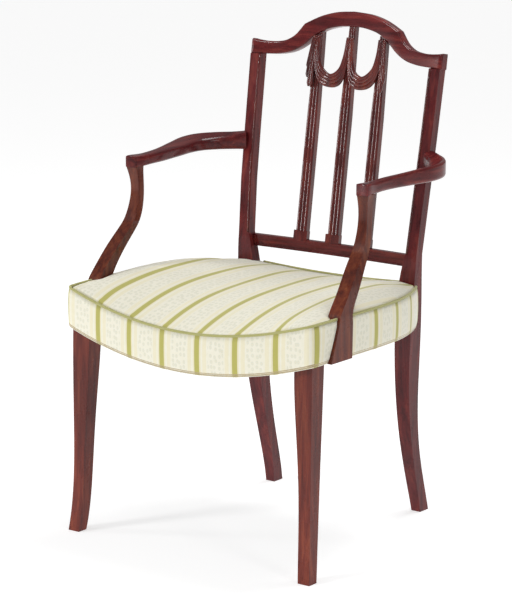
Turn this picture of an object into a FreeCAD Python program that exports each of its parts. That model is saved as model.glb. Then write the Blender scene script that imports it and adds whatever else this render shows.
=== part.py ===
import FreeCAD, Part
import math
import os
import Sketcher
from types import SimpleNamespace
from FreeCAD import Placement, Rotation, Vector

# Open armchair with a shouldered, arched back, three reeded splat bars hung with
# carved swags, curved arms on swept supports, and a dished stuffed seat.
#
# Millimetres. X is to the right of someone who faces the chair, Y runs from front
# to back, Z is up. The origin lies on the floor under the middle of the chair.

doc = FreeCAD.newDocument("open_armchair")

# Driving dimensions
SIZES = {
    # rake and dish of the back
    "back_rake": 8.7,
    "back_pivot_y": 186.2,
    "back_pivot_z": 501,
    "back_dish": 18.7,
    # crest rail, heights measured up the rake from the top of the lower back rail
    "crest_half_width": 216,
    "crest_centre_top": 436,
    "crest_shoulder_x": 110,
    "crest_shoulder_top": 406.5,
    "crest_hollow_x": 139,
    "crest_hollow_top": 380,
    "crest_end_top": 369.8,
    "crest_end_sag": 5.6,
    "crest_hollow_sag": 0.8,
    "crest_under_sag": 9,
    "crest_foot_x": 192,
    "crest_end_drop": 28,
    "crest_arch_drop": 28.3,
    "crest_turn_x": 100,
    "crest_turn_under": 371,
    "crest_thickness": 19.5,
    # rear legs, each in one piece from the floor to the crest rail
    "stile_top": 842,
    "stile_width": 24,
    "stile_depth": 19.5,
    "stile_top_x": 214.6,
    "stile_top_y": 219,
    "stile_waist_z": 505,
    "stile_waist_x": 203.4,
    "stile_waist_y": 167.5,
    "rear_seat_z": 440,
    "rear_seat_x": 202,
    "rear_seat_y": 163,
    "rear_seat_width": 35,
    "rear_seat_depth": 26,
    "rear_hip_z": 350,
    "rear_hip_x": 196,
    "rear_hip_y": 163,
    "rear_hip_depth": 34,
    "rear_shin_z": 200,
    "rear_shin_x": 185.4,
    "rear_shin_y": 179.5,
    "rear_shin_width": 28.5,
    "rear_shin_depth": 28,
    "rear_ankle_z": 90,
    "rear_ankle_x": 181,
    "rear_ankle_y": 205.5,
    "rear_ankle_width": 24.5,
    "rear_ankle_depth": 23.5,
    "rear_foot_x": 181.3,
    "rear_foot_y": 227,
    "rear_foot_width": 20,
    "rear_foot_depth": 27,
    # front legs
    "front_leg_x": 267.4,
    "front_leg_y": -246,
    "front_leg_width": 37.4,
    "front_leg_depth": 35,
    "front_leg_top": 386,
    "front_post_top": 430,
    "front_ankle_z": 108,
    "front_ankle_width": 24.5,
    "front_ankle_depth": 25,
    "front_ankle_forward": 4,
    "front_foot_out": 6,
    "front_foot_forward": 14,
    "front_foot_width": 24.5,
    "front_foot_depth": 22,
    # seat frame: dished rails, mortised into the legs
    "seat_front_y": -253,
    "seat_bow": 12,
    "seat_corner_x": 272,
    "seat_bulge": 3,
    "seat_turn_y": -50,
    "seat_turn_x": 273,
    "seat_side_rise": 13,
    "seat_rear_x": 207,
    "seat_rear_y": 163,
    "seat_back_y": 187,
    "rail_thickness": 26,
    "rail_front_low": 342,
    "rail_front_dip": 45,
    "rail_rear_low": 372,
    "rail_rear_dip": 14,
    "back_rail_thickness": 22,
    "rail_height": 58,
    "envelope_half_width": 272,
    "tenon_thickness": 10,
    "tenon_height": 34,
    "tenon_length": 20,
    "fit_gap": 0.15,
    # upholstery
    "border_thickness": 4,
    "cloth_gap": 0.3,
    "border_height": 70,
    "rear_border_height": 66,
    "seat_crown": 27,
    "cover_thickness": 2,
    "welt_diameter": 5,
    "gimp_height": 9,
    "gimp_thickness": 2,
    "webbing_width": 50,
    "webbing_thickness": 2,
    "webbing_pitch": 88,
    "strap_middle_y": -30,
    "hessian_thickness": 1.5,
    "dust_cover_thickness": 1,
    # lower back rail and splat
    "lower_rail_height": 22,
    "lower_rail_depth": 11.5,
    "lower_rail_end_y": 178.7,
    "lower_rail_bow": 7,
    "lower_rail_tenon": 12,
    "lower_rail_bead": 2,
    "bar_pitch": 72,
    "bar_foot_width": 24,
    "bar_waist_width": 22.5,
    "bar_waist_up": 240,
    "bar_head_width": 14.5,
    "bar_thickness": 11,
    "bar_setback": 3,
    "reed_depth": 1.6,
    "plinth_width": 31,
    "plinth_height": 17,
    "plinth_depth": 10.5,
    "bar_tenon": 10,
    "swag_top": 388,
    "swag_low": 288.5,
    "swag_open_low": 313,
    "swag_strand": 7.5,
    "swag_thickness": 8,
    "tail_reach": 91,
    "tail_low": 287,
    # arms
    "arm_front_y": -88,
    "arm_front_x": 270.5,
    "arm_width": 22.5,
    "arm_waist_x": 265.5,
    "arm_waist_y": -40,
    "arm_bow_x": 283,
    "arm_bow_y": 102,
    "arm_low": 656,
    "arm_front_top": 677.5,
    "arm_rear_top": 688,
    "arm_rise": 4.5,
    "arm_cant": 6.5,
    "arm_edge": 4.5,
    "arm_tip_round": 7,
    # arm supports
    "support_width": 19,
    "support_depth": 15,
    "support_neck_z": 625,
    "support_neck_x": 265,
    "support_neck_y": -82,
    "support_knee_z": 560,
    "support_knee_x": 268.5,
    "support_knee_y": -98,
    "support_low_z": 500,
    "support_low_x": 278.4,
    "support_low_y": -152,
    "support_low_width": 25.5,
    "support_low_depth": 28,
    "support_shoulder_z": 461,
    "support_shoulder_x": 282,
    "support_shoulder_y": -184,
    "support_shoulder_width": 26,
    "support_shoulder_depth": 36,
    "support_waist_z": 448,
    "support_waist_width": 16,
    "support_waist_depth": 41,
    "support_block_y": -214.4,
    "support_block_depth": 61.6,
    "support_block_x": 285.1,
    "support_foot_z": 385,
    # fastenings
    "block_leg": 46,
    "block_height": 29,
    "screw_diameter": 4,
    "screw_head": 7.5,
    "screw_length": 38,
    "tack_diameter": 6,
    "tack_length": 9,
}

sheet = doc.addObject("Spreadsheet::Sheet", "sizes")
for row, (name, value) in enumerate(SIZES.items(), start=1):
    sheet.set(f"A{row}", name.replace("_", " "))
    sheet.set(f"B{row}", str(value))
    sheet.setAlias(f"B{row}", name)
doc.recompute()


class Size:
    """A length that knows its value and the formula that ties it to the sheet."""

    def __init__(self, value, text):
        self.value = float(value)
        self.text = text

    def __add__(self, other):
        other = as_size(other)
        return Size(self.value + other.value, f"({self.text} + {other.text})")

    def __sub__(self, other):
        other = as_size(other)
        return Size(self.value - other.value, f"({self.text} - {other.text})")

    def __mul__(self, other):
        other = as_size(other)
        return Size(self.value * other.value, f"({self.text} * {other.text})")

    def __truediv__(self, other):
        other = as_size(other)
        return Size(self.value / other.value, f"({self.text} / {other.text})")

    def __neg__(self):
        return as_size(0) - self

    def __radd__(self, other):
        return as_size(other) + self

    def __rsub__(self, other):
        return as_size(other) - self

    def __rmul__(self, other):
        return as_size(other) * self


def as_size(number):
    if isinstance(number, Size):
        return number
    return Size(number, f"({float(number):.6f})")


d = SimpleNamespace(**{name: Size(value, f"sizes.{name}") for name, value in SIZES.items()})


def bind(thing, path, size):
    thing.setExpression(path, as_size(size).text)


def between(low, high, share):
    """The size that lies a share of the way from one size to another."""
    return low + (high - low) * share


# Sketches, bodies and solids

def origin_plane(body, role):
    return next(plane for plane in body.Origin.OriginFeatures if plane.Role == role)


def new_body(label):
    body = doc.addObject("PartDesign::Body", label)
    body.Label = label
    return body


def new_sketch(body, role, along=0, side=0, turn=0):
    """A sketch on an origin plane, moved along its normal and sideways, turned about its upright."""
    sketch = body.newObject("Sketcher::SketchObject", body.Name + "_sketch")
    sketch.AttachmentSupport = [(origin_plane(body, role), "")]
    sketch.MapMode = "FlatFace"
    offset = Vector(as_size(side).value, 0, as_size(along).value)
    sketch.AttachmentOffset = Placement(offset, Rotation(Vector(0, 1, 0), turn))
    bind(sketch, ".AttachmentOffset.Base.x", side)
    bind(sketch, ".AttachmentOffset.Base.z", along)
    return sketch


def add_outline(sketch, corners):
    """A closed outline. A corner (x, y) ends a straight edge, and (x, y, rise) ends an
    arc that stands its rise to the left of the straight line between its ends."""
    corners = [tuple(as_size(part) for part in corner) for corner in corners]
    count = len(corners)
    first = sketch.GeometryCount
    heads = []
    tails = []
    for index in range(count):
        start = corners[index - 1]
        end = corners[index]
        a = Vector(start[0].value, start[1].value, 0)
        b = Vector(end[0].value, end[1].value, 0)
        if len(end) == 2:
            sketch.addGeometry(Part.LineSegment(a, b), False)
            heads.append(1)
            tails.append(2)
            continue
        rise = end[2].value
        left = Vector(a.y - b.y, b.x - a.x, 0).normalize()
        radius = ((b - a).Length ** 2 / 4 + rise * rise) / (2 * abs(rise))
        centre = (a + b) * 0.5 + left * (rise - math.copysign(radius, rise))
        # the sketcher runs every arc anticlockwise, so a rise to the left starts at its far end
        begin, finish = (b, a) if rise > 0 else (a, b)
        from_angle = math.atan2(begin.y - centre.y, begin.x - centre.x)
        to_angle = math.atan2(finish.y - centre.y, finish.x - centre.x)
        if to_angle < from_angle:
            to_angle += 2 * math.pi
        circle = Part.Circle(centre, Vector(0, 0, 1), radius)
        sketch.addGeometry(Part.ArcOfCircle(circle, from_angle, to_angle), False)
        heads.append(2 if rise > 0 else 1)
        tails.append(1 if rise > 0 else 2)
    for index in range(count):
        following = (index + 1) % count
        sketch.addConstraint(Sketcher.Constraint(
            "Coincident", first + index, tails[index], first + following, heads[following]))
    for index, corner in enumerate(corners):
        for kind, size in (("DistanceX", corner[0]), ("DistanceY", corner[1])):
            number = sketch.addConstraint(Sketcher.Constraint(
                kind, first + index, tails[index], size.value))
            bind(sketch, f"Constraints[{number}]", size)
        if len(corner) == 3:
            start = corners[index - 1]
            run = corner[0] - start[0]
            climb = corner[1] - start[1]
            rise = corner[2]
            radius = (run * run + climb * climb + rise * rise * 4) / (rise * 8)
            if radius.value < 0:
                radius = -radius
            number = sketch.addConstraint(Sketcher.Constraint("Radius", first + index, radius.value))
            bind(sketch, f"Constraints[{number}]", radius)


def rectangle(low_x, high_x, low_y, high_y):
    return [(high_x, low_y), (high_x, high_y), (low_x, high_y), (low_x, low_y)]


def pad(body, sketch, length, middle=False):
    feature = body.newObject("PartDesign::Pad", body.Name + "_pad")
    feature.Profile = sketch
    feature.Length = as_size(length).value
    bind(feature, "Length", length)
    feature.Midplane = middle
    return feature


def loft(body, sketches, ruled=False):
    feature = body.newObject("PartDesign::AdditiveLoft", body.Name + "_loft")
    feature.Profile = sketches[0]
    feature.Sections = sketches[1:]
    feature.Ruled = ruled
    return feature


def stacked_loft(body, levels, ruled=False):
    """A loft through level rectangles, each (height, low x, high x, low y, high y)."""
    sketches = []
    for height, low_x, high_x, low_y, high_y in levels:
        sketch = new_sketch(body, "XY_Plane", along=height)
        add_outline(sketch, rectangle(low_x, high_x, low_y, high_y))
        sketches.append(sketch)
    return loft(body, sketches, ruled)


def prism(label, role, corners, start, length, middle=False):
    """A body padded from one outline on an origin plane."""
    body = new_body(label)
    sketch = new_sketch(body, role, along=start)
    add_outline(sketch, corners)
    pad(body, sketch, length, middle)
    return body


def box(label, x, y, z):
    """A block between pairs of sizes."""
    block = doc.addObject("Part::Box", label)
    for path, pair, length in (("x", x, "Length"), ("y", y, "Width"), ("z", z, "Height")):
        bind(block, f".Placement.Base.{path}", pair[0])
        bind(block, length, as_size(pair[1]) - pair[0])
    return block


def rod(label, diameter, length, base, axis):
    """A round rod from its base along an axis."""
    solid = doc.addObject("Part::Cylinder", label)
    bind(solid, "Radius", as_size(diameter) / 2)
    bind(solid, "Height", length)
    solid.Placement = Placement(Vector(0, 0, 0), Rotation(Vector(0, 0, 1), Vector(*axis)))
    for path, size in zip("xyz", base):
        bind(solid, f".Placement.Base.{path}", size)
    return solid


def join(kind, label, things):
    result = doc.addObject("Part::" + kind, label)
    result.Shapes = things
    return result


def fuse(label, *things):
    return join("MultiFuse", label, list(things))


def common(label, *things):
    return join("MultiCommon", label, list(things))


def cut(label, base, *tools):
    result = doc.addObject("Part::Cut", label)
    result.Base = base
    result.Tool = tools[0] if len(tools) == 1 else fuse(label + "_waste", *tools)
    return result


def mirrored(label, source):
    result = doc.addObject("Part::Mirroring", label)
    result.Source = source
    result.Normal = Vector(1, 0, 0)
    return result


def group(label, things):
    result = doc.addObject("Part::Compound", label)
    result.Links = things
    return result


def raked(thing):
    """Lean a solid drawn upright back with the rake of the chair's back."""
    if thing.TypeId == "Part::Box":
        # a box already uses its own placement for its corner
        thing = group(thing.Name + "_leaning", [thing])
    thing.Placement = Placement(Vector(0, 0, 0), Rotation(Vector(1, 0, 0), -SIZES["back_rake"]))
    bind(thing, ".Placement.Base.y", d.back_pivot_y)
    bind(thing, ".Placement.Base.z", d.back_pivot_z)
    return thing


nodes = {}


def keep(name, thing):
    """Put a finished piece on the list of pieces to write."""
    thing.Label = name
    nodes[name] = thing
    return thing


def keep_pair(name, right):
    keep(name + "_right", right)
    keep(name + "_left", mirrored(name + "_left", right))


# Outlines of the seat, seen from above

def seat_outline(inset, back_y):
    """The seat's outline drawn in by an inset, from the front right corner round to the left."""
    front = d.seat_front_y + inset
    corner = d.seat_corner_x - inset
    turn = d.seat_turn_x - inset
    rear = d.seat_rear_x - inset
    return [
        (corner, front, -d.seat_bow),
        (turn, d.seat_turn_y, -d.seat_bulge),
        (rear, d.seat_rear_y, -d.seat_side_rise),
        (rear, back_y),
        (-rear, back_y),
        (-rear, d.seat_rear_y),
        (-turn, d.seat_turn_y, -d.seat_side_rise),
        (-corner, front, -d.seat_bulge),
    ]


def seat_prism(label, inset, back_y):
    return prism(label, "XY_Plane", seat_outline(as_size(inset), back_y), 300, 260)


def dished_slab(label, low, high):
    """A slab across the whole seat between two dished faces, set by their rises above the
    underside of the rails. It is dished more deeply at the front than at the back."""
    body = new_body(label)
    half = d.envelope_half_width * SLAB_REACH
    ends = (
        (slab_front, d.rail_front_low, d.rail_front_dip),
        (slab_rear, d.rail_rear_low, d.rail_rear_dip),
    )
    sketches = []
    for y, base, dip in ends:
        sag = dip * SLAB_REACH ** 2
        bottom = base + low + sag
        top = base + high + sag
        sketch = new_sketch(body, "XZ_Plane", along=-y)
        add_outline(sketch, [(half, bottom, -sag), (half, top), (-half, top, sag), (-half, bottom)])
        sketches.append(sketch)
    loft(body, sketches, ruled=True)
    return body


def dished_height(y, x, rise):
    """The height of the dished face with this rise at a point of the seat."""
    share = (y - slab_front) / (slab_rear - slab_front)
    base = between(d.rail_front_low, d.rail_rear_low, share)
    dip = between(d.rail_front_dip, d.rail_rear_dip, share)
    reach = x / d.envelope_half_width
    return base + rise + dip * reach * reach


SLAB_REACH = 1.12
slab_front = d.seat_front_y - d.seat_bow - 1
slab_rear = d.seat_back_y + 8


# Rear legs

def rear_leg():
    """A sabre leg below the seat and, above it, a raked stile that leans outward."""
    body = new_body("rear_leg_blank")
    waist = (d.stile_waist_z, d.stile_waist_x - d.stile_width, d.stile_waist_x,
             d.stile_waist_y, d.stile_waist_y + d.stile_depth)
    stacked_loft(body, [
        (0, d.rear_foot_x - d.rear_foot_width, d.rear_foot_x,
         d.rear_foot_y, d.rear_foot_y + d.rear_foot_depth),
        (d.rear_ankle_z, d.rear_ankle_x - d.rear_ankle_width, d.rear_ankle_x,
         d.rear_ankle_y, d.rear_ankle_y + d.rear_ankle_depth),
        (d.rear_shin_z, d.rear_shin_x - d.rear_shin_width, d.rear_shin_x,
         d.rear_shin_y, d.rear_shin_y + d.rear_shin_depth),
        (d.rear_hip_z, d.rear_hip_x - d.rear_seat_width, d.rear_hip_x,
         d.rear_hip_y, d.rear_hip_y + d.rear_hip_depth),
        (d.rear_seat_z, d.rear_seat_x - d.rear_seat_width, d.rear_seat_x,
         d.rear_seat_y, d.rear_seat_y + d.rear_seat_depth),
        waist,
    ])
    levels = [waist]
    for share, lean, rake in ((0.3, 0.44, 0.26), (0.6, 0.72, 0.58), (1, 1, 1)):
        outer = between(d.stile_waist_x, d.stile_top_x, lean)
        front = between(d.stile_waist_y, d.stile_top_y, rake)
        levels.append((between(d.stile_waist_z, d.stile_top, share),
                       outer - d.stile_width, outer, front, front + d.stile_depth))
    stacked_loft(body, levels, ruled=True)
    return body


def crest_tenon(gap):
    """The stub on top of each rear leg that the crest rail sits over."""
    middle_x = d.stile_top_x - d.stile_width / 2
    middle_y = d.stile_top_y + d.stile_depth / 2 + 1
    return box("crest_tenon" if gap == 0 else "crest_mortise",
               (middle_x - 6 - gap, middle_x + 6 + gap),
               (middle_y - 4 - gap, middle_y + 4 + gap),
               (d.stile_top - 1, d.stile_top + 14 + gap))


# Heights and depths where the rails meet the legs
rail_mid_z = d.rail_rear_low + d.rail_height / 2
front_rail_mid_z = d.rail_front_low + d.rail_front_dip + 22


def side_tenon(end, gap):
    """The side rail's tenon into the front leg or the rear leg."""
    grow = d.fit_gap if gap else as_size(0)
    if end == "front":
        middle_x = d.front_leg_x - 14
        leg_face = d.front_leg_y + d.front_leg_depth
        y = (leg_face - d.tenon_length - grow, leg_face + 2)
        z = front_rail_mid_z - d.tenon_height / 2
    else:
        middle_x = d.rear_hip_x - 14
        y = (d.seat_rear_y - 2, d.seat_rear_y + d.tenon_length + grow)
        z = rail_mid_z - d.tenon_height / 2
    half = d.tenon_thickness / 2 + grow
    return box(f"side_{end}_{'mortise' if gap else 'tenon'}",
               (middle_x - half, middle_x + half), y,
               (z - grow, z + d.tenon_height + grow))


def cross_tenon(end, gap):
    """The front or back rail's tenon into the right leg, clear of the side rail's."""
    grow = d.fit_gap if gap else as_size(0)
    if end == "front":
        leg_face = d.front_leg_x - d.front_leg_width
        middle_y = d.front_leg_y + 10
        z = front_rail_mid_z - d.tenon_height / 2
        length = d.tenon_length * 0.7
    else:
        leg_face = d.rear_hip_x - d.rear_seat_width
        middle_y = d.seat_back_y - d.back_rail_thickness * 0.4
        z = rail_mid_z - d.tenon_height / 2
        length = d.tenon_length * 0.7
    half = d.tenon_thickness / 2 - 1 + grow
    return box(f"cross_{end}_{'mortise' if gap else 'tenon'}",
               (leg_face - 6, leg_face + length + grow),
               (middle_y - half, middle_y + half),
               (z - grow, z + d.tenon_height + grow))


def lower_rail_tenon(gap):
    grow = d.fit_gap if gap else as_size(0)
    face = d.stile_waist_x - d.stile_width
    middle_y = d.lower_rail_end_y + d.lower_rail_depth / 2 - 3
    top = d.back_pivot_z - 3
    return box("lower_rail_mortise" if gap else "lower_rail_tenon",
               (face - 8, face + d.lower_rail_tenon + grow),
               (middle_y - 4 - grow, middle_y + 4 + grow),
               (top - 15 - grow, top + grow))


rear_leg_shape = fuse("rear_leg_shape", rear_leg(), crest_tenon(0))


# Front legs: square, tapered on the inner faces, splayed out at the foot

def front_leg():
    body = new_body("front_leg_blank")
    outer = d.front_leg_x
    front = d.front_leg_y
    calf_share = 0.5
    calf_z = between(d.front_ankle_z, d.front_leg_top, calf_share)
    calf_width = between(d.front_ankle_width, d.front_leg_width, calf_share)
    calf_depth = between(d.front_ankle_depth, d.front_leg_depth, calf_share)
    ankle_front = front - d.front_ankle_forward
    calf_front = between(ankle_front, front, calf_share)
    foot_outer = outer + d.front_foot_out
    foot_front = front - d.front_foot_forward
    step_outer = outer + d.front_foot_out * 0.3
    step_front = between(ankle_front, foot_front, 0.34)
    stacked_loft(body, [
        (0, foot_outer - d.front_foot_width, foot_outer, foot_front, foot_front + d.front_foot_depth),
        (d.front_ankle_z / 2, step_outer - d.front_foot_width, step_outer,
         step_front, step_front + between(d.front_foot_depth, d.front_ankle_depth, 0.5)),
        (d.front_ankle_z, outer - d.front_ankle_width, outer,
         ankle_front, ankle_front + d.front_ankle_depth),
        (calf_z, outer - calf_width, outer, calf_front, calf_front + calf_depth),
        (d.front_leg_top, outer - d.front_leg_width, outer, front, front + d.front_leg_depth),
    ])
    post = new_sketch(body, "XY_Plane", along=d.front_leg_top)
    add_outline(post, rectangle(outer - d.front_leg_width, outer, front, front + d.front_leg_depth))
    pad(body, post, d.front_post_top - d.front_leg_top)
    return body


front_leg_shape = front_leg()

# Seat rails: bowed and dished to the seat's outline, butted and tenoned into the legs

rear_leg_blanks = fuse("rear_leg_blanks", rear_leg_shape, mirrored("rear_leg_blank_left", rear_leg_shape))
front_leg_blanks = fuse("front_leg_blanks", front_leg_shape,
                        mirrored("front_leg_blank_left", front_leg_shape))
leg_blanks = fuse("leg_blanks", rear_leg_blanks, front_leg_blanks)

rail_inset = d.border_thickness + d.cloth_gap
frame_ring = cut("frame_ring",
                 seat_prism("frame_outer", rail_inset, d.seat_back_y),
                 seat_prism("frame_inner", rail_inset + d.rail_thickness, d.seat_back_y + 5))
rail_slab = dished_slab("rail_slab", 0, d.rail_height)
seat_frame = cut("seat_frame", common("seat_frame_blank", frame_ring, rail_slab), leg_blanks)

front_leg_inner = d.front_leg_x - d.front_leg_width
front_leg_back = d.front_leg_y + d.front_leg_depth
rear_leg_inner = d.rear_hip_x - d.rear_seat_width

front_bay = box("front_bay", (-front_leg_inner - 8, front_leg_inner + 8),
                (slab_front, front_leg_back), (300, 500))
front_tenon = cross_tenon("front", False)
front_rail = fuse("front_rail",
                  common("front_rail_blank", seat_frame, front_bay),
                  front_tenon,
                  mirrored("front_tenon_left", front_tenon))

support_screw_z = d.rail_rear_low + 38
support_screws = [
    rod(f"support_screw_{number}", d.screw_diameter, d.screw_length * 0.9,
        (d.seat_corner_x - rail_inset - d.rail_thickness + 2, y, support_screw_z), (1, 0, 0))
    for number, y in enumerate((d.support_shoulder_y + 8, d.support_shoulder_y + 26))
]

side_bay = box("side_bay", (100, 320), (front_leg_back, d.seat_rear_y + 2), (300, 500))
side_rail = fuse("side_rail",
                 common("side_rail_blank", seat_frame, side_bay),
                 side_tenon("front", False),
                 side_tenon("rear", False))
side_rail = cut("side_rail_bored", side_rail, *support_screws)

back_rail_blank = prism("back_rail_blank", "XY_Plane", rectangle(
    -rear_leg_inner - 8, rear_leg_inner + 8,
    d.seat_back_y - d.back_rail_thickness, d.seat_back_y), 300, 260)
back_tenon = cross_tenon("rear", False)
back_rail = fuse("back_rail",
                 cut("back_rail_butted",
                     common("back_rail_shaped", back_rail_blank, rail_slab), rear_leg_blanks),
                 back_tenon,
                 mirrored("back_tenon_left", back_tenon))
keep("front_seat_rail", front_rail)
keep_pair("side_seat_rail", side_rail)
keep("back_seat_rail", back_rail)

# Corner blocks, screwed across the corners of the frame into the legs

block_low = d.rail_rear_low + 16
block_middle = block_low + d.block_height / 2
front_corner_x = front_leg_inner + 12
front_corner_y = front_leg_back - 22
front_block = cut("front_corner_block_shaped",
                  prism("front_block_blank", "XY_Plane", [
                      (front_corner_x, front_corner_y),
                      (front_corner_x, front_corner_y + d.block_leg * 1.7),
                      (front_corner_x - d.block_leg * 1.7, front_corner_y),
                  ], block_low, d.block_height),
                  seat_frame, leg_blanks)
rear_corner_x = rear_leg_inner + 28
rear_block = cut("rear_corner_block_shaped",
                 prism("rear_block_blank", "XY_Plane", [
                     (rear_corner_x, d.seat_rear_y + 4),
                     (rear_corner_x + 30, d.seat_rear_y - d.block_leg * 1.4),
                     (rear_corner_x - d.block_leg * 1.5, d.seat_rear_y + 4),
                 ][::-1], block_low, d.block_height),
                 seat_frame, leg_blanks, back_rail)


def block_screw(label, base, axis):
    """A countersunk wood screw, its head flush in the block."""
    head = rod(label + "_head", d.screw_head, 3, base, axis)
    shank = rod(label + "_shank", d.screw_diameter, d.screw_length, base, axis)
    return fuse(label, head, shank)


front_block_screw = block_screw("front_block_screw", (
    front_corner_x - d.block_leg * 0.78, front_corner_y + d.block_leg * 0.78, block_middle), (1, -1, 0))
rear_block_screw = block_screw("rear_block_screw", (
    rear_corner_x - d.block_leg * 0.47, d.seat_rear_y - d.block_leg * 0.62, block_middle), (0, 1, 0))
block_screws = [front_block_screw, rear_block_screw]
keep_pair("front_corner_block", cut("front_corner_block", front_block, front_block_screw))
keep_pair("rear_corner_block", cut("rear_corner_block", rear_block, rear_block_screw))
keep("corner_block_screws", group("corner_block_screws", [
    part for screw in block_screws for part in (screw, mirrored(screw.Name + "_left", screw))]))

# Lower back rail, bowed back, with a bead along its lower edge

lower_rail_half = d.stile_waist_x - d.stile_width / 2
lower_rail_low = d.back_pivot_z - d.lower_rail_height
lower_rail_blank = prism("lower_rail_blank", "XY_Plane", [
    (lower_rail_half, d.lower_rail_end_y, d.lower_rail_bow),
    (lower_rail_half, d.lower_rail_end_y + d.lower_rail_depth),
    (-lower_rail_half, d.lower_rail_end_y + d.lower_rail_depth, -d.lower_rail_bow),
    (-lower_rail_half, d.lower_rail_end_y),
], lower_rail_low, d.lower_rail_height)
lower_rail_bead = prism("lower_rail_bead", "XY_Plane", [
    (lower_rail_half, d.lower_rail_end_y - d.lower_rail_bead, d.lower_rail_bow),
    (lower_rail_half, d.lower_rail_end_y + 2),
    (-lower_rail_half, d.lower_rail_end_y + 2, -d.lower_rail_bow),
    (-lower_rail_half, d.lower_rail_end_y - d.lower_rail_bead),
], lower_rail_low, d.lower_rail_bead * 2)
lower_tenon = lower_rail_tenon(False)
lower_rail_solid = fuse("lower_rail_solid",
                        cut("lower_rail_butted",
                            fuse("lower_rail_beaded", lower_rail_blank, lower_rail_bead),
                            rear_leg_blanks),
                        lower_tenon,
                        mirrored("lower_tenon_left", lower_tenon))

# Crest rail, drawn upright, dished in plan and leaned back with the rake

crest_outline = [
    (d.crest_half_width, d.crest_end_top - d.crest_end_drop - 6),
    (d.crest_half_width, d.crest_end_top),
    (d.crest_hollow_x, d.crest_hollow_top, d.crest_end_sag),
    (d.crest_shoulder_x, d.crest_shoulder_top, d.crest_hollow_sag),
    (-d.crest_shoulder_x, d.crest_shoulder_top, -(d.crest_centre_top - d.crest_shoulder_top)),
    (-d.crest_hollow_x, d.crest_hollow_top, d.crest_hollow_sag),
    (-d.crest_half_width, d.crest_end_top, d.crest_end_sag),
    (-d.crest_half_width, d.crest_end_top - d.crest_end_drop - 6),
    (-d.crest_foot_x, d.crest_end_top - d.crest_end_drop - 6),
    (-d.crest_foot_x, d.crest_end_top - d.crest_end_drop + 1),
    (-d.crest_turn_x, d.crest_turn_under, -d.crest_under_sag),
    (d.crest_turn_x, d.crest_turn_under, d.crest_centre_top - d.crest_arch_drop - d.crest_turn_under),
    (d.crest_foot_x, d.crest_end_top - d.crest_end_drop + 1, -d.crest_under_sag),
    (d.crest_foot_x, d.crest_end_top - d.crest_end_drop - 6),
]


def dished_band(label, front, back, low, high):
    """A band across the back between two depths behind its face, drawn upright."""
    half = d.crest_half_width + 4
    sag = d.back_dish * 1.0374
    return prism(label, "XY_Plane", [
        (half, front - sag, sag),
        (half, back - sag),
        (-half, back - sag, -sag),
        (-half, front - sag),
    ], low, high - low)


crest_blank = raked(common(
    "crest_blank",
    prism("crest_profile", "XZ_Plane", crest_outline, -60, 120),
    dished_band("crest_band", as_size(0), d.crest_thickness, as_size(300), as_size(460))))
stile_seat = box("stile_seat", (-240, 240), (150, 300), (d.stile_top - 40, d.stile_top))

# Splat bars, three reeds across the front of each, on square plinths

crest_underside = d.crest_centre_top - d.crest_arch_drop


def bar_depth(x):
    """How far the dished face of the back stands forward at this distance from the middle."""
    return -d.back_dish * x * x / (d.crest_half_width * d.crest_half_width)


def splat_bar(label, x):
    """A tapering reeded bar with its plinth, cut to the rails above and below."""
    face = bar_depth(x)
    front = face + d.bar_setback
    body = new_body(label + "_shaft")
    sketches = []
    levels = (
        (as_size(2), d.bar_foot_width),
        (d.bar_waist_up, d.bar_waist_width),
        (crest_underside + 6, d.bar_head_width - 0.5),
    )
    for height, width in levels:
        sketch = new_sketch(body, "XY_Plane", along=height)
        add_outline(sketch, [
            (x + width / 2, front + d.bar_thickness),
            (x - width / 2, front + d.bar_thickness),
            (x - width / 2, front),
            (x - width / 6, front, d.reed_depth * -1),
            (x + width / 6, front, d.reed_depth * -1),
            (x + width / 2, front, d.reed_depth * -1),
        ])
        sketches.append(sketch)
    loft(body, sketches, ruled=True)
    plinth = box(label + "_plinth", (x - d.plinth_width / 2, x + d.plinth_width / 2),
                 (face + 0.6, face + d.plinth_depth), (as_size(-3), d.plinth_height))
    shaft = raked(fuse(label + "_blank", body, plinth))
    return cut(label + "_cut", shaft, crest_blank, lower_rail_solid)


def bar_tenon(label, x, where, gap):
    """The stub that holds a bar in the crest rail or in the lower rail."""
    grow = d.fit_gap if gap else as_size(0)
    middle = bar_depth(x) + d.bar_setback + d.bar_thickness / 2 - 1.5
    if where == "head":
        reach = (crest_underside - 30, crest_underside + d.bar_tenon + grow - x * x * 0.0035)
    else:
        reach = (-d.bar_tenon - grow, as_size(6))
    return raked(box(label, (x - 4 - grow, x + 4 + grow), (middle - 3 - grow, middle + 3 + grow), reach))


head_mortises = []
foot_mortises = []
for side, sign in (("left", -1), ("centre", 0), ("right", 1)):
    x = d.bar_pitch * sign
    name = "splat_bar_" + side
    bar = splat_bar(name, x)
    keep(name, fuse(name, bar,
                    bar_tenon(name + "_head_tenon", x, "head", False),
                    bar_tenon(name + "_foot_tenon", x, "foot", False)))
    head_mortises.append(bar_tenon(name + "_head_mortise", x, "head", True))
    foot_mortises.append(bar_tenon(name + "_foot_mortise", x, "foot", True))

stile_mortise = crest_tenon(d.fit_gap)
keep("crest_rail", cut("crest_rail", crest_blank, stile_seat, stile_mortise,
                       mirrored("crest_mortise_left", stile_mortise), *head_mortises))
keep("lower_back_rail", cut("lower_back_rail", lower_rail_solid, *foot_mortises))

# Carved swags and tails, planted on the fronts of the bars

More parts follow.
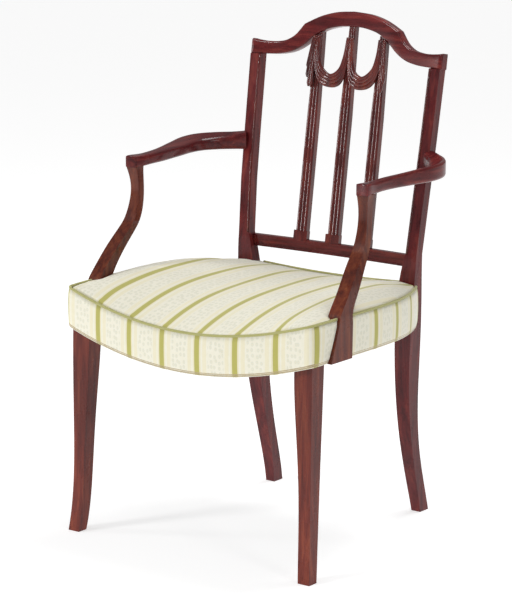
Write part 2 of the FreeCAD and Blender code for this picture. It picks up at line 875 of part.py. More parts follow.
pitch = d.bar_pitch
reed_crown = d.bar_setback - d.reed_depth
outer_crown = bar_depth(pitch) + reed_crown
low = d.swag_low
swag_height = d.swag_top - low
swag_lower_edge = [
    (pitch + 2, d.swag_top, 0),
    (pitch + 2.5, low + swag_height * 0.52, 0.6),
    (pitch * 0.82, low + 10, 5),
    (pitch * 0.48, low, 2.6),
    (pitch * 0.17, low + 7.5, 2.0),
    (pitch * 0.014, low + swag_height * 0.47, 3),
    (as_size(0), d.swag_top, 0.3),
]
swag_upper_edge = [
    (pitch - d.bar_head_width / 2, d.swag_top, 0),
    (pitch * 0.845, low + swag_height * 0.69, 0.8),
    (pitch * 0.735, low + swag_height * 0.44, 1.0),
    (pitch * 0.51, d.swag_open_low, 3.4),
    (pitch * 0.235, low + swag_height * 0.42, 3.2),
    (pitch * 0.125, low + swag_height * 0.67, 1.2),
    (d.bar_head_width / 2, d.swag_top, 0.4),
]


def swag_edge(share):
    """The curve a share of the way from the swag's lower edge to its upper edge."""
    points = []
    for lower, upper in zip(swag_lower_edge, swag_upper_edge):
        points.append(tuple(between(as_size(a), as_size(b), share) for a, b in zip(lower, upper)))
    return points


def swag_fold(body, low_share, high_share, front):
    """One fold of the hanging cloth, between two curves."""
    lower = swag_edge(low_share)
    upper = swag_edge(high_share)
    corners = [lower[0][:2]]
    for point in lower[1:]:
        corners.append((point[0], point[1], point[2]))
    corners.append(upper[-1][:2])
    for index in range(len(upper) - 1, 0, -1):
        rise = upper[index][2]
        corners.append((upper[index - 1][0], upper[index - 1][1], -rise))
    sketch = new_sketch(body, "XZ_Plane", along=-reed_crown)
    add_outline(sketch, corners)
    pad(body, sketch, reed_crown + front)


swag_body = new_body("swag_folds")
FOLD_FRONTS = (0.45, 0.7, 1.0)
for number, share in enumerate(FOLD_FRONTS):
    swag_fold(swag_body, number / 3, (number + 1) / 3, d.swag_thickness * share)
outer_bar_room = raked(box("outer_bar_room", (pitch - d.bar_foot_width / 2, pitch + d.bar_foot_width),
                           (outer_crown - d.fit_gap, reed_crown + 5), (low - 20, d.swag_top + 30)))
swag = cut("swag_shaped", raked(swag_body), outer_bar_room, crest_blank)
keep_pair("swag", swag)

tail_body = new_body("tail_folds")
tail_folds = (
    (d.swag_thickness * 0.5, [
        (pitch + 3.2, d.swag_top),
        (pitch + 3.2, d.tail_low + 42),
        (pitch + 6, d.tail_low + 8),
        (pitch + 12.5, d.tail_low),
        (d.tail_reach - 1, d.tail_low + 15),
        (pitch + 14, d.tail_low + 30),
        (pitch + 10, d.swag_top),
    ]),
    (d.swag_thickness * 0.9, [
        (pitch + 3.2, d.swag_top),
        (pitch + 3.2, d.tail_low + 58),
        (pitch + 9, d.tail_low + 44),
        (d.tail_reach, d.tail_low + 30),
        (d.tail_reach - 3, d.tail_low + 52),
        (pitch + 8, d.swag_top),
    ]),
)
for front, corners in tail_folds:
    sketch = new_sketch(tail_body, "XZ_Plane", along=-outer_crown)
    add_outline(sketch, corners)
    pad(tail_body, sketch, outer_crown + front)
tail = cut("tail_shaped", raked(tail_body), crest_blank)
keep_pair("drapery_tail", tail)

# Arms, bowed out, each over a swept support

arm_stations = (
    (d.arm_front_x, d.arm_front_y, 0, d.arm_width + 2, 0),
    (d.arm_waist_x + 0.5, between(d.arm_front_y, d.arm_waist_y, 0.65), 0, d.arm_width - 2.5, 0.1),
    (d.arm_waist_x + 0.6, d.arm_waist_y + 38, -5, d.arm_width - 2, 0.35),
    (d.arm_bow_x - 6.5, d.arm_bow_y - 47, -12, d.arm_width + 0.5, 0.55),
    (d.arm_bow_x, d.arm_bow_y, 3, d.arm_width + 1.5, 0.75),
    (d.arm_bow_x - 7.5, d.arm_bow_y + 43, 43, d.arm_width + 0.5, 0.9),
    (d.arm_bow_x - 39, d.arm_bow_y + 74, 58, d.arm_width - 0.5, 0.97),
    (d.arm_bow_x - 56, d.arm_bow_y + 91, 72, d.arm_width - 3, 1),
    (d.stile_top_x - 6, d.stile_waist_y + 43, 90, d.arm_width - 3, 1),
)


def arm_blank():
    """A loft through upright sections that turn to follow the arm's sweep."""
    body = new_body("arm_blank")
    sketches = []
    for x, y, turn, width, share in arm_stations:
        x = as_size(x)
        y = as_size(y)
        cosine = math.cos(math.radians(turn))
        sine = math.sin(math.radians(turn))
        # the sketch's own axes are turned, so its offset is measured along world axes
        sketch = new_sketch(body, "XZ_Plane", along=-y, side=x, turn=turn)
        low_edge = d.arm_low + d.arm_rise * share
        top_edge = between(d.arm_front_top, d.arm_rear_top, share)
        cant = between(1.5, d.arm_cant, min(1, share * 1.6))
        ease = between(as_size(0.4), d.arm_edge, min(1, share * 3))
        add_outline(sketch, [
            (as_size(0), low_edge + ease),
            (as_size(0), top_edge),
            (-width, top_edge - cant, -1.6),
            (-width, low_edge + ease * 0.6),
            (-width + ease, low_edge),
            (-ease, low_edge),
        ])
        sketches.append(sketch)
    loft(body, sketches)
    return body


tip = d.arm_tip_round
arm_tip_waste = prism("arm_tip_waste", "YZ_Plane", [
    (d.arm_front_y, d.arm_front_top - tip),
    (d.arm_front_y + tip, d.arm_front_top, tip * 0.29),
    (d.arm_front_y + tip, d.arm_front_top + 5),
    (d.arm_front_y - 3, d.arm_front_top + 5),
    (d.arm_front_y - 3, d.arm_front_top - tip),
], 200, 120)
arm_shape = cut("arm_rounded", arm_blank(), arm_tip_waste)
support_levels = (
    (d.arm_low + 2, d.arm_front_x, d.arm_front_y, d.arm_width + 2, d.support_depth + 6),
    (between(d.support_neck_z, d.arm_low, 0.55), between(d.support_neck_x, d.arm_front_x, 0.4),
     between(d.support_neck_y, d.arm_front_y, 0.4), d.support_width + 1.8, d.support_depth + 2.5),
    (d.support_neck_z, d.support_neck_x, d.support_neck_y, d.support_width, d.support_depth + 0.5),
    (between(d.support_knee_z, d.support_neck_z, 0.46), d.support_neck_x + 0.4,
     d.support_neck_y - 4, d.support_width + 1, d.support_depth + 2),
    (d.support_knee_z, d.support_knee_x, d.support_knee_y, d.support_width + 5, d.support_depth + 3),
    (between(d.support_low_z, d.support_knee_z, 0.5), between(d.support_low_x, d.support_knee_x, 0.5),
     between(d.support_low_y, d.support_knee_y, 0.49), d.support_width + 6.3, d.support_depth + 9),
    (d.support_low_z, d.support_low_x, d.support_low_y, d.support_low_width, d.support_low_depth),
    (between(d.support_shoulder_z, d.support_low_z, 0.5), d.support_low_x + 1.8,
     between(d.support_shoulder_y, d.support_low_y, 0.47), d.support_low_width, d.support_low_depth + 3.5),
    (d.support_shoulder_z, d.support_shoulder_x, d.support_shoulder_y,
     d.support_shoulder_width, d.support_shoulder_depth),
    (d.support_waist_z, d.support_shoulder_x + 0.6, d.support_shoulder_y - 4.5,
     d.support_waist_width, d.support_waist_depth),
    (between(d.support_foot_z, d.support_waist_z, 0.43), d.support_shoulder_x + 1.5,
     between(d.support_block_y, d.support_shoulder_y, 0.41),
     d.support_waist_width + 0.5, between(d.support_block_depth, d.support_waist_depth, 0.45)),
    (d.support_foot_z, d.support_block_x, d.support_block_y,
     d.support_waist_width + 2, d.support_block_depth),
)
support_shape = new_body("support_blank")
support_rectangles = [
    (height, outer - width, outer, front, front + depth)
    for height, outer, front, width, depth in reversed(support_levels)]
SHOULDER_LEVEL = 3
stacked_loft(support_shape, support_rectangles[:SHOULDER_LEVEL + 1], ruled=True)
stacked_loft(support_shape, support_rectangles[SHOULDER_LEVEL:])


def arm_tenon(label, gap):
    """The stub on the support that the arm sits over."""
    grow = d.fit_gap if gap else as_size(0)
    middle_x = d.support_neck_x - d.support_width / 2 + 1.5
    middle_y = d.support_neck_y + d.support_depth / 2 - 1
    return box(label, (middle_x - 4 - grow, middle_x + 4 + grow),
               (middle_y - 4 - grow, middle_y + 4 + grow), (d.arm_low - 4, d.arm_low + 14 + grow))


arm_screw = rod("arm_screw_right", d.screw_diameter, d.screw_length + 4,
                (d.stile_top_x - d.stile_width - 3, d.stile_waist_y + 32, between(d.arm_low, d.arm_rear_top, 0.55)),
                (1, 0, 0))
arm_end_room = box("arm_end_room", (100, between(d.stile_waist_x, d.stile_top_x, 0.59)),
                   (150, 260), (d.arm_low - 20, d.arm_low + 80))
arm = cut("arm_shaped", arm_shape, rear_leg_blanks, arm_end_room,
          arm_tenon("arm_mortise", True), arm_screw)
keep_pair("arm", arm)
keep("arm_screws", group("arm_screws", [arm_screw, mirrored("arm_screw_left", arm_screw)]))

support = fuse("support_joined",
               cut("support_butted", support_shape, arm_shape, seat_frame),
               arm_tenon("arm_tenon", False))
keep_pair("arm_support", cut("arm_support_shaped", support, *support_screws))
keep("arm_support_screws", group("arm_support_screws", [
    part for screw in support_screws for part in (screw, mirrored(screw.Name + "_left", screw))]))

keep_pair("rear_leg", cut("rear_leg_finished", rear_leg_shape,
                          side_tenon("rear", True),
                          cross_tenon("rear", True),
                          lower_rail_tenon(True),
                          rear_block_screw, arm_screw))
keep_pair("front_leg", cut("front_leg_finished", front_leg_shape,
                           side_tenon("front", True),
                           cross_tenon("front", True),
                           front_block_screw))

# Upholstery: webbing, hessian and stuffing under a fabric cover with welt and gimp

clear = d.cloth_gap
stile_room = fuse("stile_room",
                  box("leg_room", (rear_leg_inner + 1 - clear, 330),
                      (d.seat_rear_y - clear, 300), (300, d.rear_hip_z + 50)),
                  box("waist_room", (rear_leg_inner + 2.5 - clear, 330),
                      (d.seat_rear_y - clear, 300), (d.rear_hip_z + 49, 560)))
support_room = fuse("support_room",
                    box("block_room", (d.support_shoulder_x - d.support_waist_width - clear, 330),
                        (d.support_block_y - clear, d.support_block_y + d.support_block_depth + 5),
                        (300, d.support_waist_z)),
                    box("shoulder_room", (d.support_shoulder_x - d.support_shoulder_width - 1.5, 330),
                        (d.support_shoulder_y - 5 - clear, d.support_shoulder_y + d.support_shoulder_depth + 10),
                        (d.support_waist_z - 1, 560)))
right_room = fuse("right_room", stile_room, support_room)
rooms = fuse("rooms", right_room, mirrored("left_room", right_room))

over_webbing = d.rail_height + d.webbing_thickness * 2
over_hessian = over_webbing + d.hessian_thickness
welt_low = d.border_height - d.welt_diameter / 2


def layer(label, inset, low, high, *others):
    """One dished layer of the seat, drawn in by an inset and cleared round the woodwork."""
    return cut(label, common(label + "_sheet", seat_prism(label + "_plan", inset, d.seat_back_y),
                             dished_slab(label + "_slab", low, high), *others), rooms)


def band(label, outer, inner, low, high):
    """A band round the outside of the seat between two insets and two rises."""
    ring = cut(label + "_ring",
               seat_prism(label + "_outer", outer, d.seat_back_y + d.border_thickness - outer),
               seat_prism(label + "_inner", inner, d.seat_back_y + d.border_thickness - inner))
    return cut(label, common(label + "_blank", ring, dished_slab(label + "_slab", low, high)), rooms)


strap_layer = layer("strap_lower", rail_inset + 4, d.rail_height, d.rail_height + d.webbing_thickness)
strap_upper_layer = layer("strap_upper", rail_inset + 4,
                          d.rail_height + d.webbing_thickness, over_webbing)
long_straps = []
cross_straps = []
for number in (-1, 0, 1):
    middle = d.webbing_pitch * number
    half = d.webbing_width / 2
    long_straps.append(box(f"long_strap_{number + 2}", (middle - half, middle + half), (-300, 300), (300, 560)))
    across = d.strap_middle_y + middle
    cross_straps.append(box(f"cross_strap_{number + 2}", (-300, 300), (across - half, across + half), (300, 560)))
keep("webbing", fuse("webbing_straps",
                     common("long_straps_laid", strap_layer, fuse("long_straps", *long_straps)),
                     common("cross_straps_laid", strap_upper_layer, fuse("cross_straps", *cross_straps))))
keep("hessian", layer("hessian", rail_inset + 3, over_webbing, over_hessian))

crown_stations = (
    (slab_front, d.seat_corner_x + 1, 0),
    (between(slab_front, slab_rear, 0.11), d.seat_turn_x + 1.5, 0.58),
    (between(slab_front, slab_rear, 0.25), d.seat_turn_x + 2.5, 0.9),
    (between(slab_front, slab_rear, 0.49), d.seat_turn_x + 0.5, 1),
    (between(slab_front, slab_rear, 0.75), between(d.seat_rear_x, d.seat_turn_x, 0.6), 0.78),
    (between(slab_front, slab_rear, 0.90), d.seat_rear_x + 6, 0.4),
    (slab_rear, d.seat_rear_x - 3, 0),
)


def crowned_body(label, drop):
    """The stuffed shape of the seat, its top a given drop below the cover's outer face."""
    body = new_body(label)
    sketches = []
    for y, edge, share in crown_stations:
        crown = d.seat_crown * share
        shoulder = edge * 0.7
        edge_z = dished_height(y, edge, d.border_height) - drop
        shoulder_z = dished_height(y, shoulder, d.border_height) + crown - drop
        centre_z = dished_height(y, as_size(0), d.border_height) + crown * 0.95 - drop
        puff = crown * 0.32 + 1.2
        sketch = new_sketch(body, "XZ_Plane", along=-y)
        add_outline(sketch, [
            (edge, edge_z),
            (shoulder, shoulder_z, -puff),
            (-shoulder, shoulder_z, shoulder_z - centre_z),
            (-edge, edge_z, -puff),
            (-edge, as_size(330)),
            (edge, as_size(330)),
        ])
        sketches.append(sketch)
    loft(body, sketches)
    return body


cover_inset = d.welt_diameter * 0.7
stuffing = layer("stuffing", cover_inset + d.cover_thickness, over_hessian, 140,
                 crowned_body("stuffing_crown", d.cover_thickness))
cover = cut("cover_shaped",
            layer("cover", cover_inset, welt_low, 140, crowned_body("cover_crown", as_size(0))),
            stuffing)
keep("horsehair_stuffing", stuffing)
keep("seat_cover", cover)
keep("seat_border", band("border", as_size(0), d.border_thickness, -2, welt_low))
keep("welt_cord", band("welt", -d.welt_diameter * 0.3, cover_inset, welt_low, welt_low + d.welt_diameter))
keep("gimp_braid", band("gimp", -d.gimp_thickness, as_size(0), -2, d.gimp_height - 2))
keep("dust_cover", cut("dust_cover",
                       layer("dust_sheet", rail_inset + 3, -d.dust_cover_thickness, 0),
                       leg_blanks))


# Checking and writing

doc.recompute()
failed = [thing.Name for thing in doc.Objects if "Invalid" in thing.State or "Error" in thing.State]
if failed:
    raise RuntimeError("these features failed: " + ", ".join(failed))
for name, thing in nodes.items():
    if thing.Shape.isNull() or not thing.Shape.isValid() or not thing.Shape.Solids:
        raise RuntimeError(name + " has no valid shape")

os.makedirs("parts", exist_ok=True)
for name, thing in nodes.items():
    thing.Shape.exportStep(os.path.join("parts", name + ".step"))
    extent = thing.Shape.optimalBoundingBox()
    print(f"{name}: {len(thing.Shape.Solids)} solids, {thing.Shape.Volume / 1000:.1f} cm3, "
          f"x {extent.XMin:.1f} {extent.XMax:.1f} y {extent.YMin:.1f} {extent.YMax:.1f} "
          f"z {extent.ZMin:.1f} {extent.ZMax:.1f}")
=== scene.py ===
import math

import bpy
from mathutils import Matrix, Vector
from mathutils.geometry import interpolate_bezier
from mathutils.kdtree import KDTree


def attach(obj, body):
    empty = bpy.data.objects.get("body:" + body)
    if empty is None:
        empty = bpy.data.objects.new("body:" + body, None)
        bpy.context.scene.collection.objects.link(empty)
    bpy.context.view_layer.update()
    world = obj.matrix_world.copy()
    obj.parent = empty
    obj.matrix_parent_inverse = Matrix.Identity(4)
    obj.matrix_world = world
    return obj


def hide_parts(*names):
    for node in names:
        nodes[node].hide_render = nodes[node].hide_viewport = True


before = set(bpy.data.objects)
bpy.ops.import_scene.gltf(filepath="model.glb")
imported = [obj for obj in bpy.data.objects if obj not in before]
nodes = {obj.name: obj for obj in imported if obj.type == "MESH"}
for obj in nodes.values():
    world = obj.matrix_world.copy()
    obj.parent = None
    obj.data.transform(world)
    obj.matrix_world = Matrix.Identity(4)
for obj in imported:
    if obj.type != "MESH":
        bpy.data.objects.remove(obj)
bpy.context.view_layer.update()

scene = bpy.context.scene

# The seat and the back, in metres, as they are in the solids
SEAT_FRONT = -0.253
SEAT_BOW = 0.012
SEAT_CORNER = 0.272
SEAT_TURN = 0.273
SEAT_TURN_Y = -0.050
SEAT_REAR = 0.207
SEAT_REAR_Y = 0.163
SEAT_BACK = 0.187
SLAB_FRONT = SEAT_FRONT - SEAT_BOW - 0.001
SLAB_REAR = SEAT_BACK + 0.008
RAIL_FRONT_LOW = 0.342
RAIL_FRONT_DIP = 0.045
RAIL_REAR_LOW = 0.372
RAIL_REAR_DIP = 0.014
BORDER_TOP = 0.070
BACK_Y = 0.1862
BACK_Z = 0.501
RAKE = math.radians(8.7)
DISH = 0.0187
CREST_HALF = 0.216
BACK_EDGE_HALF = 0.161
BACK_EDGE_OUT = 0.004
STRIPE_PITCH = 0.08
# where the olive stripes cross the seat's edge, counted from the middle of the front
STRIPES_AT = (-0.273, -0.1938, -0.1187, -0.0426, 0.0358, 0.1173, 0.2017, 0.2785, 0.365, 0.4523, 0.5302)


def dished(x, y, rise):
    """Height of the dished face that stands this rise above the underside of the rails."""
    share = (y - SLAB_FRONT) / (SLAB_REAR - SLAB_FRONT)
    base = RAIL_FRONT_LOW + (RAIL_REAR_LOW - RAIL_FRONT_LOW) * share
    dip = RAIL_FRONT_DIP + (RAIL_REAR_DIP - RAIL_FRONT_DIP) * share
    return base + rise + dip * (x / SEAT_CORNER) ** 2


def back_point(x, up, forward):
    """A point of the back: distance from the middle, height up the rake, distance in front of its face."""
    v = -DISH * (x / CREST_HALF) ** 2 - forward
    return Vector((x,
                   BACK_Y + v * math.cos(RAKE) + up * math.sin(RAKE),
                   BACK_Z + up * math.cos(RAKE) - v * math.sin(RAKE)))


def stripe_place(distance):
    """A distance along the seat's edge, as it would be if the stripes were evenly spaced."""
    places = STRIPES_AT
    for k in range(len(places) - 1):
        if distance < places[k + 1] or k == len(places) - 2:
            share = (distance - places[k]) / (places[k + 1] - places[k])
            return STRIPE_PITCH * (k + share)


def arc_points(a, b, rise, count):
    """Points of the arc from a to b that stands its rise to the left, without the last one."""
    a = Vector(a)
    b = Vector(b)
    left = Vector((a.y - b.y, b.x - a.x)).normalized()
    points = []
    for i in range(count):
        t = i / count
        points.append(a.lerp(b, t) + left * rise * 4 * t * (1 - t))
    return points


def seat_path(outset, back_y):
    """The seat's outline from the right rear corner, round the front, to the left rear corner."""
    corner = SEAT_CORNER + outset
    front = SEAT_FRONT - outset
    turn = SEAT_TURN + outset
    rear = SEAT_REAR + outset
    right = [Vector((rear, back_y))]
    right += arc_points((rear, SEAT_REAR_Y), (turn, SEAT_TURN_Y), 0.013, 20)
    right += arc_points((turn, SEAT_TURN_Y), (corner, front + 0.009), 0.0026, 20)
    front_right = Vector((corner - 0.009, front - 0.0004))
    right += arc_points((corner, front + 0.009), front_right, 0.0026, 5)
    # the order runs clockwise seen from above, so the rises stand to the left, outward
    middle = arc_points(front_right, (-front_right.x, front_right.y), SEAT_BOW, 60)
    path = right + middle
    path += [Vector((-p.x, p.y)) for p in reversed(right)]
    return path


# Materials

def material(name, base, roughness, **extra):
    made = bpy.data.materials.new(name)
    made.use_nodes = True
    shader = made.node_tree.nodes["Principled BSDF"]
    shader.inputs["Base Color"].default_value = (*base, 1)
    shader.inputs["Roughness"].default_value = roughness
    for socket, value in extra.items():
        shader.inputs[socket.replace("_", " ")].default_value = value
    return made, shader, made.node_tree


def node(tree, kind, **settings):
    made = tree.nodes.new("ShaderNode" + kind)
    for key, value in settings.items():
        if key in made.inputs:
            made.inputs[key].default_value = value
        else:
            setattr(made, key, value)
    return made


def ramp(tree, fac, stops):
    made = tree.nodes.new("ShaderNodeValToRGB")
    elements = made.color_ramp.elements
    while len(elements) < len(stops):
        elements.new(0.5)
    for element, (place, colour) in zip(elements, stops):
        element.position = place
        element.color = (*colour, 1)
    tree.links.new(fac, made.inputs[0])
    return made.outputs[0]


def maths(tree, operation, a, b=None, c=None):
    made = node(tree, "Math", operation=operation)
    for index, value in enumerate((a, b, c)):
        if value is None:
            continue
        if isinstance(value, (int, float)):
            made.inputs[index].default_value = value
        else:
            tree.links.new(value, made.inputs[index])
    return made.outputs[0]


def mix(tree, fac, a, b, blend="MIX"):
    made = node(tree, "Mix", data_type="RGBA", blend_type=blend)
    for index, value in ((0, fac), (6, a), (7, b)):
        if isinstance(value, (int, float)):
            made.inputs[index].default_value = value
        elif isinstance(value, tuple):
            made.inputs[index].default_value = (*value, 1)
        else:
            tree.links.new(value, made.inputs[index])
    return made.outputs[2]


def stretched(tree, scale):
    """Object coordinates stretched along the grain."""
    where = node(tree, "TexCoord")
    mapping = node(tree, "Mapping")
    mapping.inputs["Scale"].default_value = scale
    tree.links.new(where.outputs["Object"], mapping.inputs["Vector"])
    return mapping.outputs["Vector"]


def noise(tree, vector, scale, detail=4.0, rough=0.55, distortion=0.0):
    made = node(tree, "TexNoise")
    made.inputs["Scale"].default_value = scale
    made.inputs["Detail"].default_value = detail
    made.inputs["Roughness"].default_value = rough
    made.inputs["Distortion"].default_value = distortion
    tree.links.new(vector, made.inputs["Vector"])
    return made.outputs["Fac"]


def bump(tree, shader, height, strength, distance=0.001):
    made = node(tree, "Bump")
    made.inputs["Strength"].default_value = strength
    made.inputs["Distance"].default_value = distance
    tree.links.new(height, made.inputs["Height"])
    tree.links.new(made.outputs["Normal"], shader.inputs["Normal"])


def mahogany(name, along, tone=1.0, warm=0.0, polish=0.3, relief=0.10):
    """Polished mahogany with its grain along one axis."""
    made, shader, tree = material(name, (0.12, 0.03, 0.018), 0.3, Coat_Weight=polish, Coat_Roughness=0.08,
                                  Specular_IOR_Level=0.13)
    across = [1.0, 1.0, 1.0]
    across["xyz".index(along)] = 0.07
    grain = noise(tree, stretched(tree, across), 95, 6, 0.6, 0.4)
    figure = noise(tree, stretched(tree, [v * 0.5 + 0.1 for v in across]), 16, 3, 0.5, 0.8)
    pores = noise(tree, stretched(tree, [v if v < 1 else 1.6 for v in across]), 420, 2, 0.5)
    dark = tuple(v * tone for v in (0.060 + warm * 0.01, 0.008 + warm * 0.004, 0.011 - warm * 0.003))
    middle = tuple(v * tone for v in (0.145 + warm * 0.02, 0.018 + warm * 0.016, 0.020 - warm * 0.006))
    light = tuple(v * tone for v in (0.27 + warm * 0.03, 0.048 + warm * 0.04, 0.036 - warm * 0.006))
    colour = ramp(tree, grain, [(0.28, dark), (0.52, middle), (0.78, light)])
    shade = ramp(tree, figure, [(0.3, (0.55, 0.5, 0.55)), (0.7, (1.15, 1.1, 1.0))])
    colour = mix(tree, 1.0, colour, shade, "MULTIPLY")
    pore_mask = ramp(tree, pores, [(0.34, (0.45, 0.4, 0.4)), (0.42, (1, 1, 1))])
    colour = mix(tree, 0.6, colour, pore_mask, "MULTIPLY")
    tree.links.new(colour, shader.inputs["Base Color"])
    wear = noise(tree, stretched(tree, (1, 1, 1)), 22, 4, 0.6)
    tree.links.new(ramp(tree, wear, [(0.3, (0.2, 0.2, 0.2)), (0.75, (0.42, 0.42, 0.42))]),
                   shader.inputs["Roughness"])
    bump(tree, shader, grain, relief, 0.0006)
    return made


def plain_wood(name, base):
    made, shader, tree = material(name, base, 0.6)
    grain = noise(tree, stretched(tree, (0.1, 1, 1)), 80, 5, 0.6)
    dark = tuple(v * 0.6 for v in base)
    tree.links.new(ramp(tree, grain, [(0.3, dark), (0.7, base)]), shader.inputs["Base Color"])
    bump(tree, shader, grain, 0.2)
    return made


CREAM = (0.80, 0.765, 0.60)
PALE = (0.86, 0.84, 0.74)
OLIVE = (0.47, 0.44, 0.115)
STRAW = (0.78, 0.70, 0.40)
GREY_GREEN = (0.60, 0.62, 0.50)


def bars_between(tree, value, low, high, soft=0.02):
    """A soft mask, one where the value lies between two limits."""
    up = node(tree, "MapRange", interpolation_type="SMOOTHSTEP")
    up.inputs["From Min"].default_value = low - soft
    up.inputs["From Max"].default_value = low + soft
    tree.links.new(value, up.inputs["Value"])
    down = node(tree, "MapRange", interpolation_type="SMOOTHSTEP")
    down.inputs["From Min"].default_value = high + soft
    down.inputs["From Max"].default_value = high - soft
    tree.links.new(value, down.inputs["Value"])
    return maths(tree, "MULTIPLY", up.outputs[0], down.outputs[0])


def silk():
    """Cream silk with olive stripes, fine flanking lines and a band of small sprigs.
    The cloth reads two attributes of the mesh: across the stripes and along them."""
    made, shader, tree = material("striped_silk", CREAM, 0.62, Sheen_Weight=0.35, Sheen_Roughness=0.4,
                                  Specular_IOR_Level=0.3)
    across = node(tree, "Attribute", attribute_name="across").outputs["Fac"]
    along = node(tree, "Attribute", attribute_name="along").outputs["Fac"]
    cell = maths(tree, "FRACT", maths(tree, "DIVIDE", maths(tree, "ADD", across, 10 * STRIPE_PITCH),
                                      STRIPE_PITCH))
    # distance from the olive stripe's middle, from 0 there to 0.5 midway between two stripes
    off = maths(tree, "PINGPONG", cell, 0.5)
    # the bands, from the olive stripe outward
    olive = bars_between(tree, off, -0.2, 0.068, 0.008)
    halo = bars_between(tree, off, 0.075, 0.105, 0.012)
    fine = bars_between(tree, off, 0.155, 0.255, 0.01)
    ripple = maths(tree, "SINE", maths(tree, "MULTIPLY", off, 2 * math.pi / 0.022))
    fine_lines = maths(tree, "GREATER_THAN", ripple, 0.1)
    fine = maths(tree, "MULTIPLY", fine, maths(tree, "MULTIPLY_ADD", fine_lines, 0.6, 0.4))
    sprig_band = bars_between(tree, off, 0.29, 0.6, 0.012)
    # sprigs: staggered little flowers in the middle band
    place = node(tree, "CombineXYZ")
    tree.links.new(maths(tree, "MULTIPLY", across, 1 / 0.0085), place.inputs[0])
    tree.links.new(maths(tree, "MULTIPLY", along, 1 / 0.0105), place.inputs[1])
    flowers = node(tree, "TexVoronoi", voronoi_dimensions="2D")
    flowers.inputs["Scale"].default_value = 1.0
    flowers.inputs["Randomness"].default_value = 0.55
    tree.links.new(place.outputs[0], flowers.inputs["Vector"])
    petals = bars_between(tree, flowers.outputs["Distance"], 0.12, 0.33, 0.06)
    heart = bars_between(tree, flowers.outputs["Distance"], -1, 0.12, 0.04)
    sprig = maths(tree, "MULTIPLY", petals, sprig_band)
    eye = maths(tree, "MULTIPLY", heart, sprig_band)
    # weave
    weave_at = node(tree, "CombineXYZ")
    tree.links.new(maths(tree, "MULTIPLY", across, 1 / 0.0011), weave_at.inputs[0])
    tree.links.new(maths(tree, "MULTIPLY", along, 1 / 0.0011), weave_at.inputs[1])
    weave = node(tree, "TexChecker")
    weave.inputs["Scale"].default_value = 1.0
    tree.links.new(weave_at.outputs[0], weave.inputs["Vector"])
    thread = noise(tree, weave_at.outputs[0], 0.12, 3, 0.6)
    base = mix(tree, thread, CREAM, PALE)
    base = mix(tree, maths(tree, "MULTIPLY", fine, 0.55), base, STRAW)
    base = mix(tree, maths(tree, "MULTIPLY", sprig, 0.42), base, GREY_GREEN)
    base = mix(tree, maths(tree, "MULTIPLY", eye, 0.5), base, (0.74, 0.66, 0.45))
    base = mix(tree, maths(tree, "MULTIPLY", halo, 0.6), base, STRAW)
    base = mix(tree, olive, base, OLIVE)
    tree.links.new(base, shader.inputs["Base Color"])
    raised = maths(tree, "ADD", maths(tree, "MULTIPLY", sprig, 0.8), maths(tree, "MULTIPLY", thread, 0.5))
    height = maths(tree, "ADD", maths(tree, "MULTIPLY", weave.outputs["Fac"], 0.3), raised)
    bump(tree, shader, height, 0.25, 0.0005)
    return made


def cord_cloth(name, base, twist):
    """Cloth over a cord, with slanting threads."""
    made, shader, tree = material(name, base, 0.7, Sheen_Weight=0.3)
    wave = node(tree, "TexWave", wave_type="BANDS", bands_direction="DIAGONAL")
    wave.inputs["Scale"].default_value = twist
    wave.inputs["Distortion"].default_value = 0.6
    tree.links.new(stretched(tree, (1, 1, 1)), wave.inputs["Vector"])
    dark = tuple(v * 0.68 for v in base)
    tree.links.new(ramp(tree, wave.outputs["Fac"], [(0.15, dark), (0.7, base)]), shader.inputs["Base Color"])
    bump(tree, shader, wave.outputs["Fac"], 0.5, 0.0006)
    return made


def woven(name, base, size):
    made, shader, tree = material(name, base, 0.85)
    check = node(tree, "TexBrick")
    check.inputs["Scale"].default_value = 1 / size
    dark = tuple(v * 0.55 for v in base)
    check.inputs["Color1"].default_value = (*base, 1)
    check.inputs["Color2"].default_value = (*tuple(v * 0.8 for v in base), 1)
    check.inputs["Mortar"].default_value = (*dark, 1)
    tree.links.new(stretched(tree, (1, 1, 1)), check.inputs["Vector"])
    tree.links.new(check.outputs["Color"], shader.inputs["Base Color"])
    bump(tree, shader, check.outputs["Fac"], 0.4, 0.0008)
    return made


upright = mahogany("mahogany_upright", "z")
crosswise = mahogany("mahogany_crosswise", "x")
lengthwise = mahogany("mahogany_lengthwise", "y")
warm_upright = mahogany("mahogany_front_legs", "z", 1.0, 0.5)
supports = mahogany("mahogany_supports", "z", 0.95, 0.9, 0.35)
carved = mahogany("mahogany_carved", "z", 0.8, 0.2, 0.85, 0.02)
beech = plain_wood("beech", (0.36, 0.22, 0.11))
silk_cloth = silk()
welt_cloth = cord_cloth("welt_green", (0.50, 0.48, 0.17), 260)
gimp_cloth = cord_cloth("gimp_gold", (0.56, 0.44, 0.24), 420)
hessian_cloth = woven("hessian", (0.42, 0.31, 0.17), 0.02)
webbing_cloth = woven("webbing", (0.45, 0.37, 0.25), 0.015)
cambric = woven("dust_cloth", (0.03, 0.03, 0.032), 0.01)
steel, steel_shader, steel_tree = material("steel_screw", (0.35, 0.34, 0.32), 0.35, Metallic=1.0)
scratches = noise(steel_tree, stretched(steel_tree, (1, 1, 1)), 900, 3, 0.6)
steel_tree.links.new(ramp(steel_tree, scratches, [(0.3, (0.3, 0.3, 0.3)), (0.8, (0.5, 0.5, 0.5))]),
                     steel_shader.inputs["Roughness"])


def dress(names, look):
    for name in names:
        mesh = nodes[name].data
        mesh.materials.clear()
        mesh.materials.append(look)


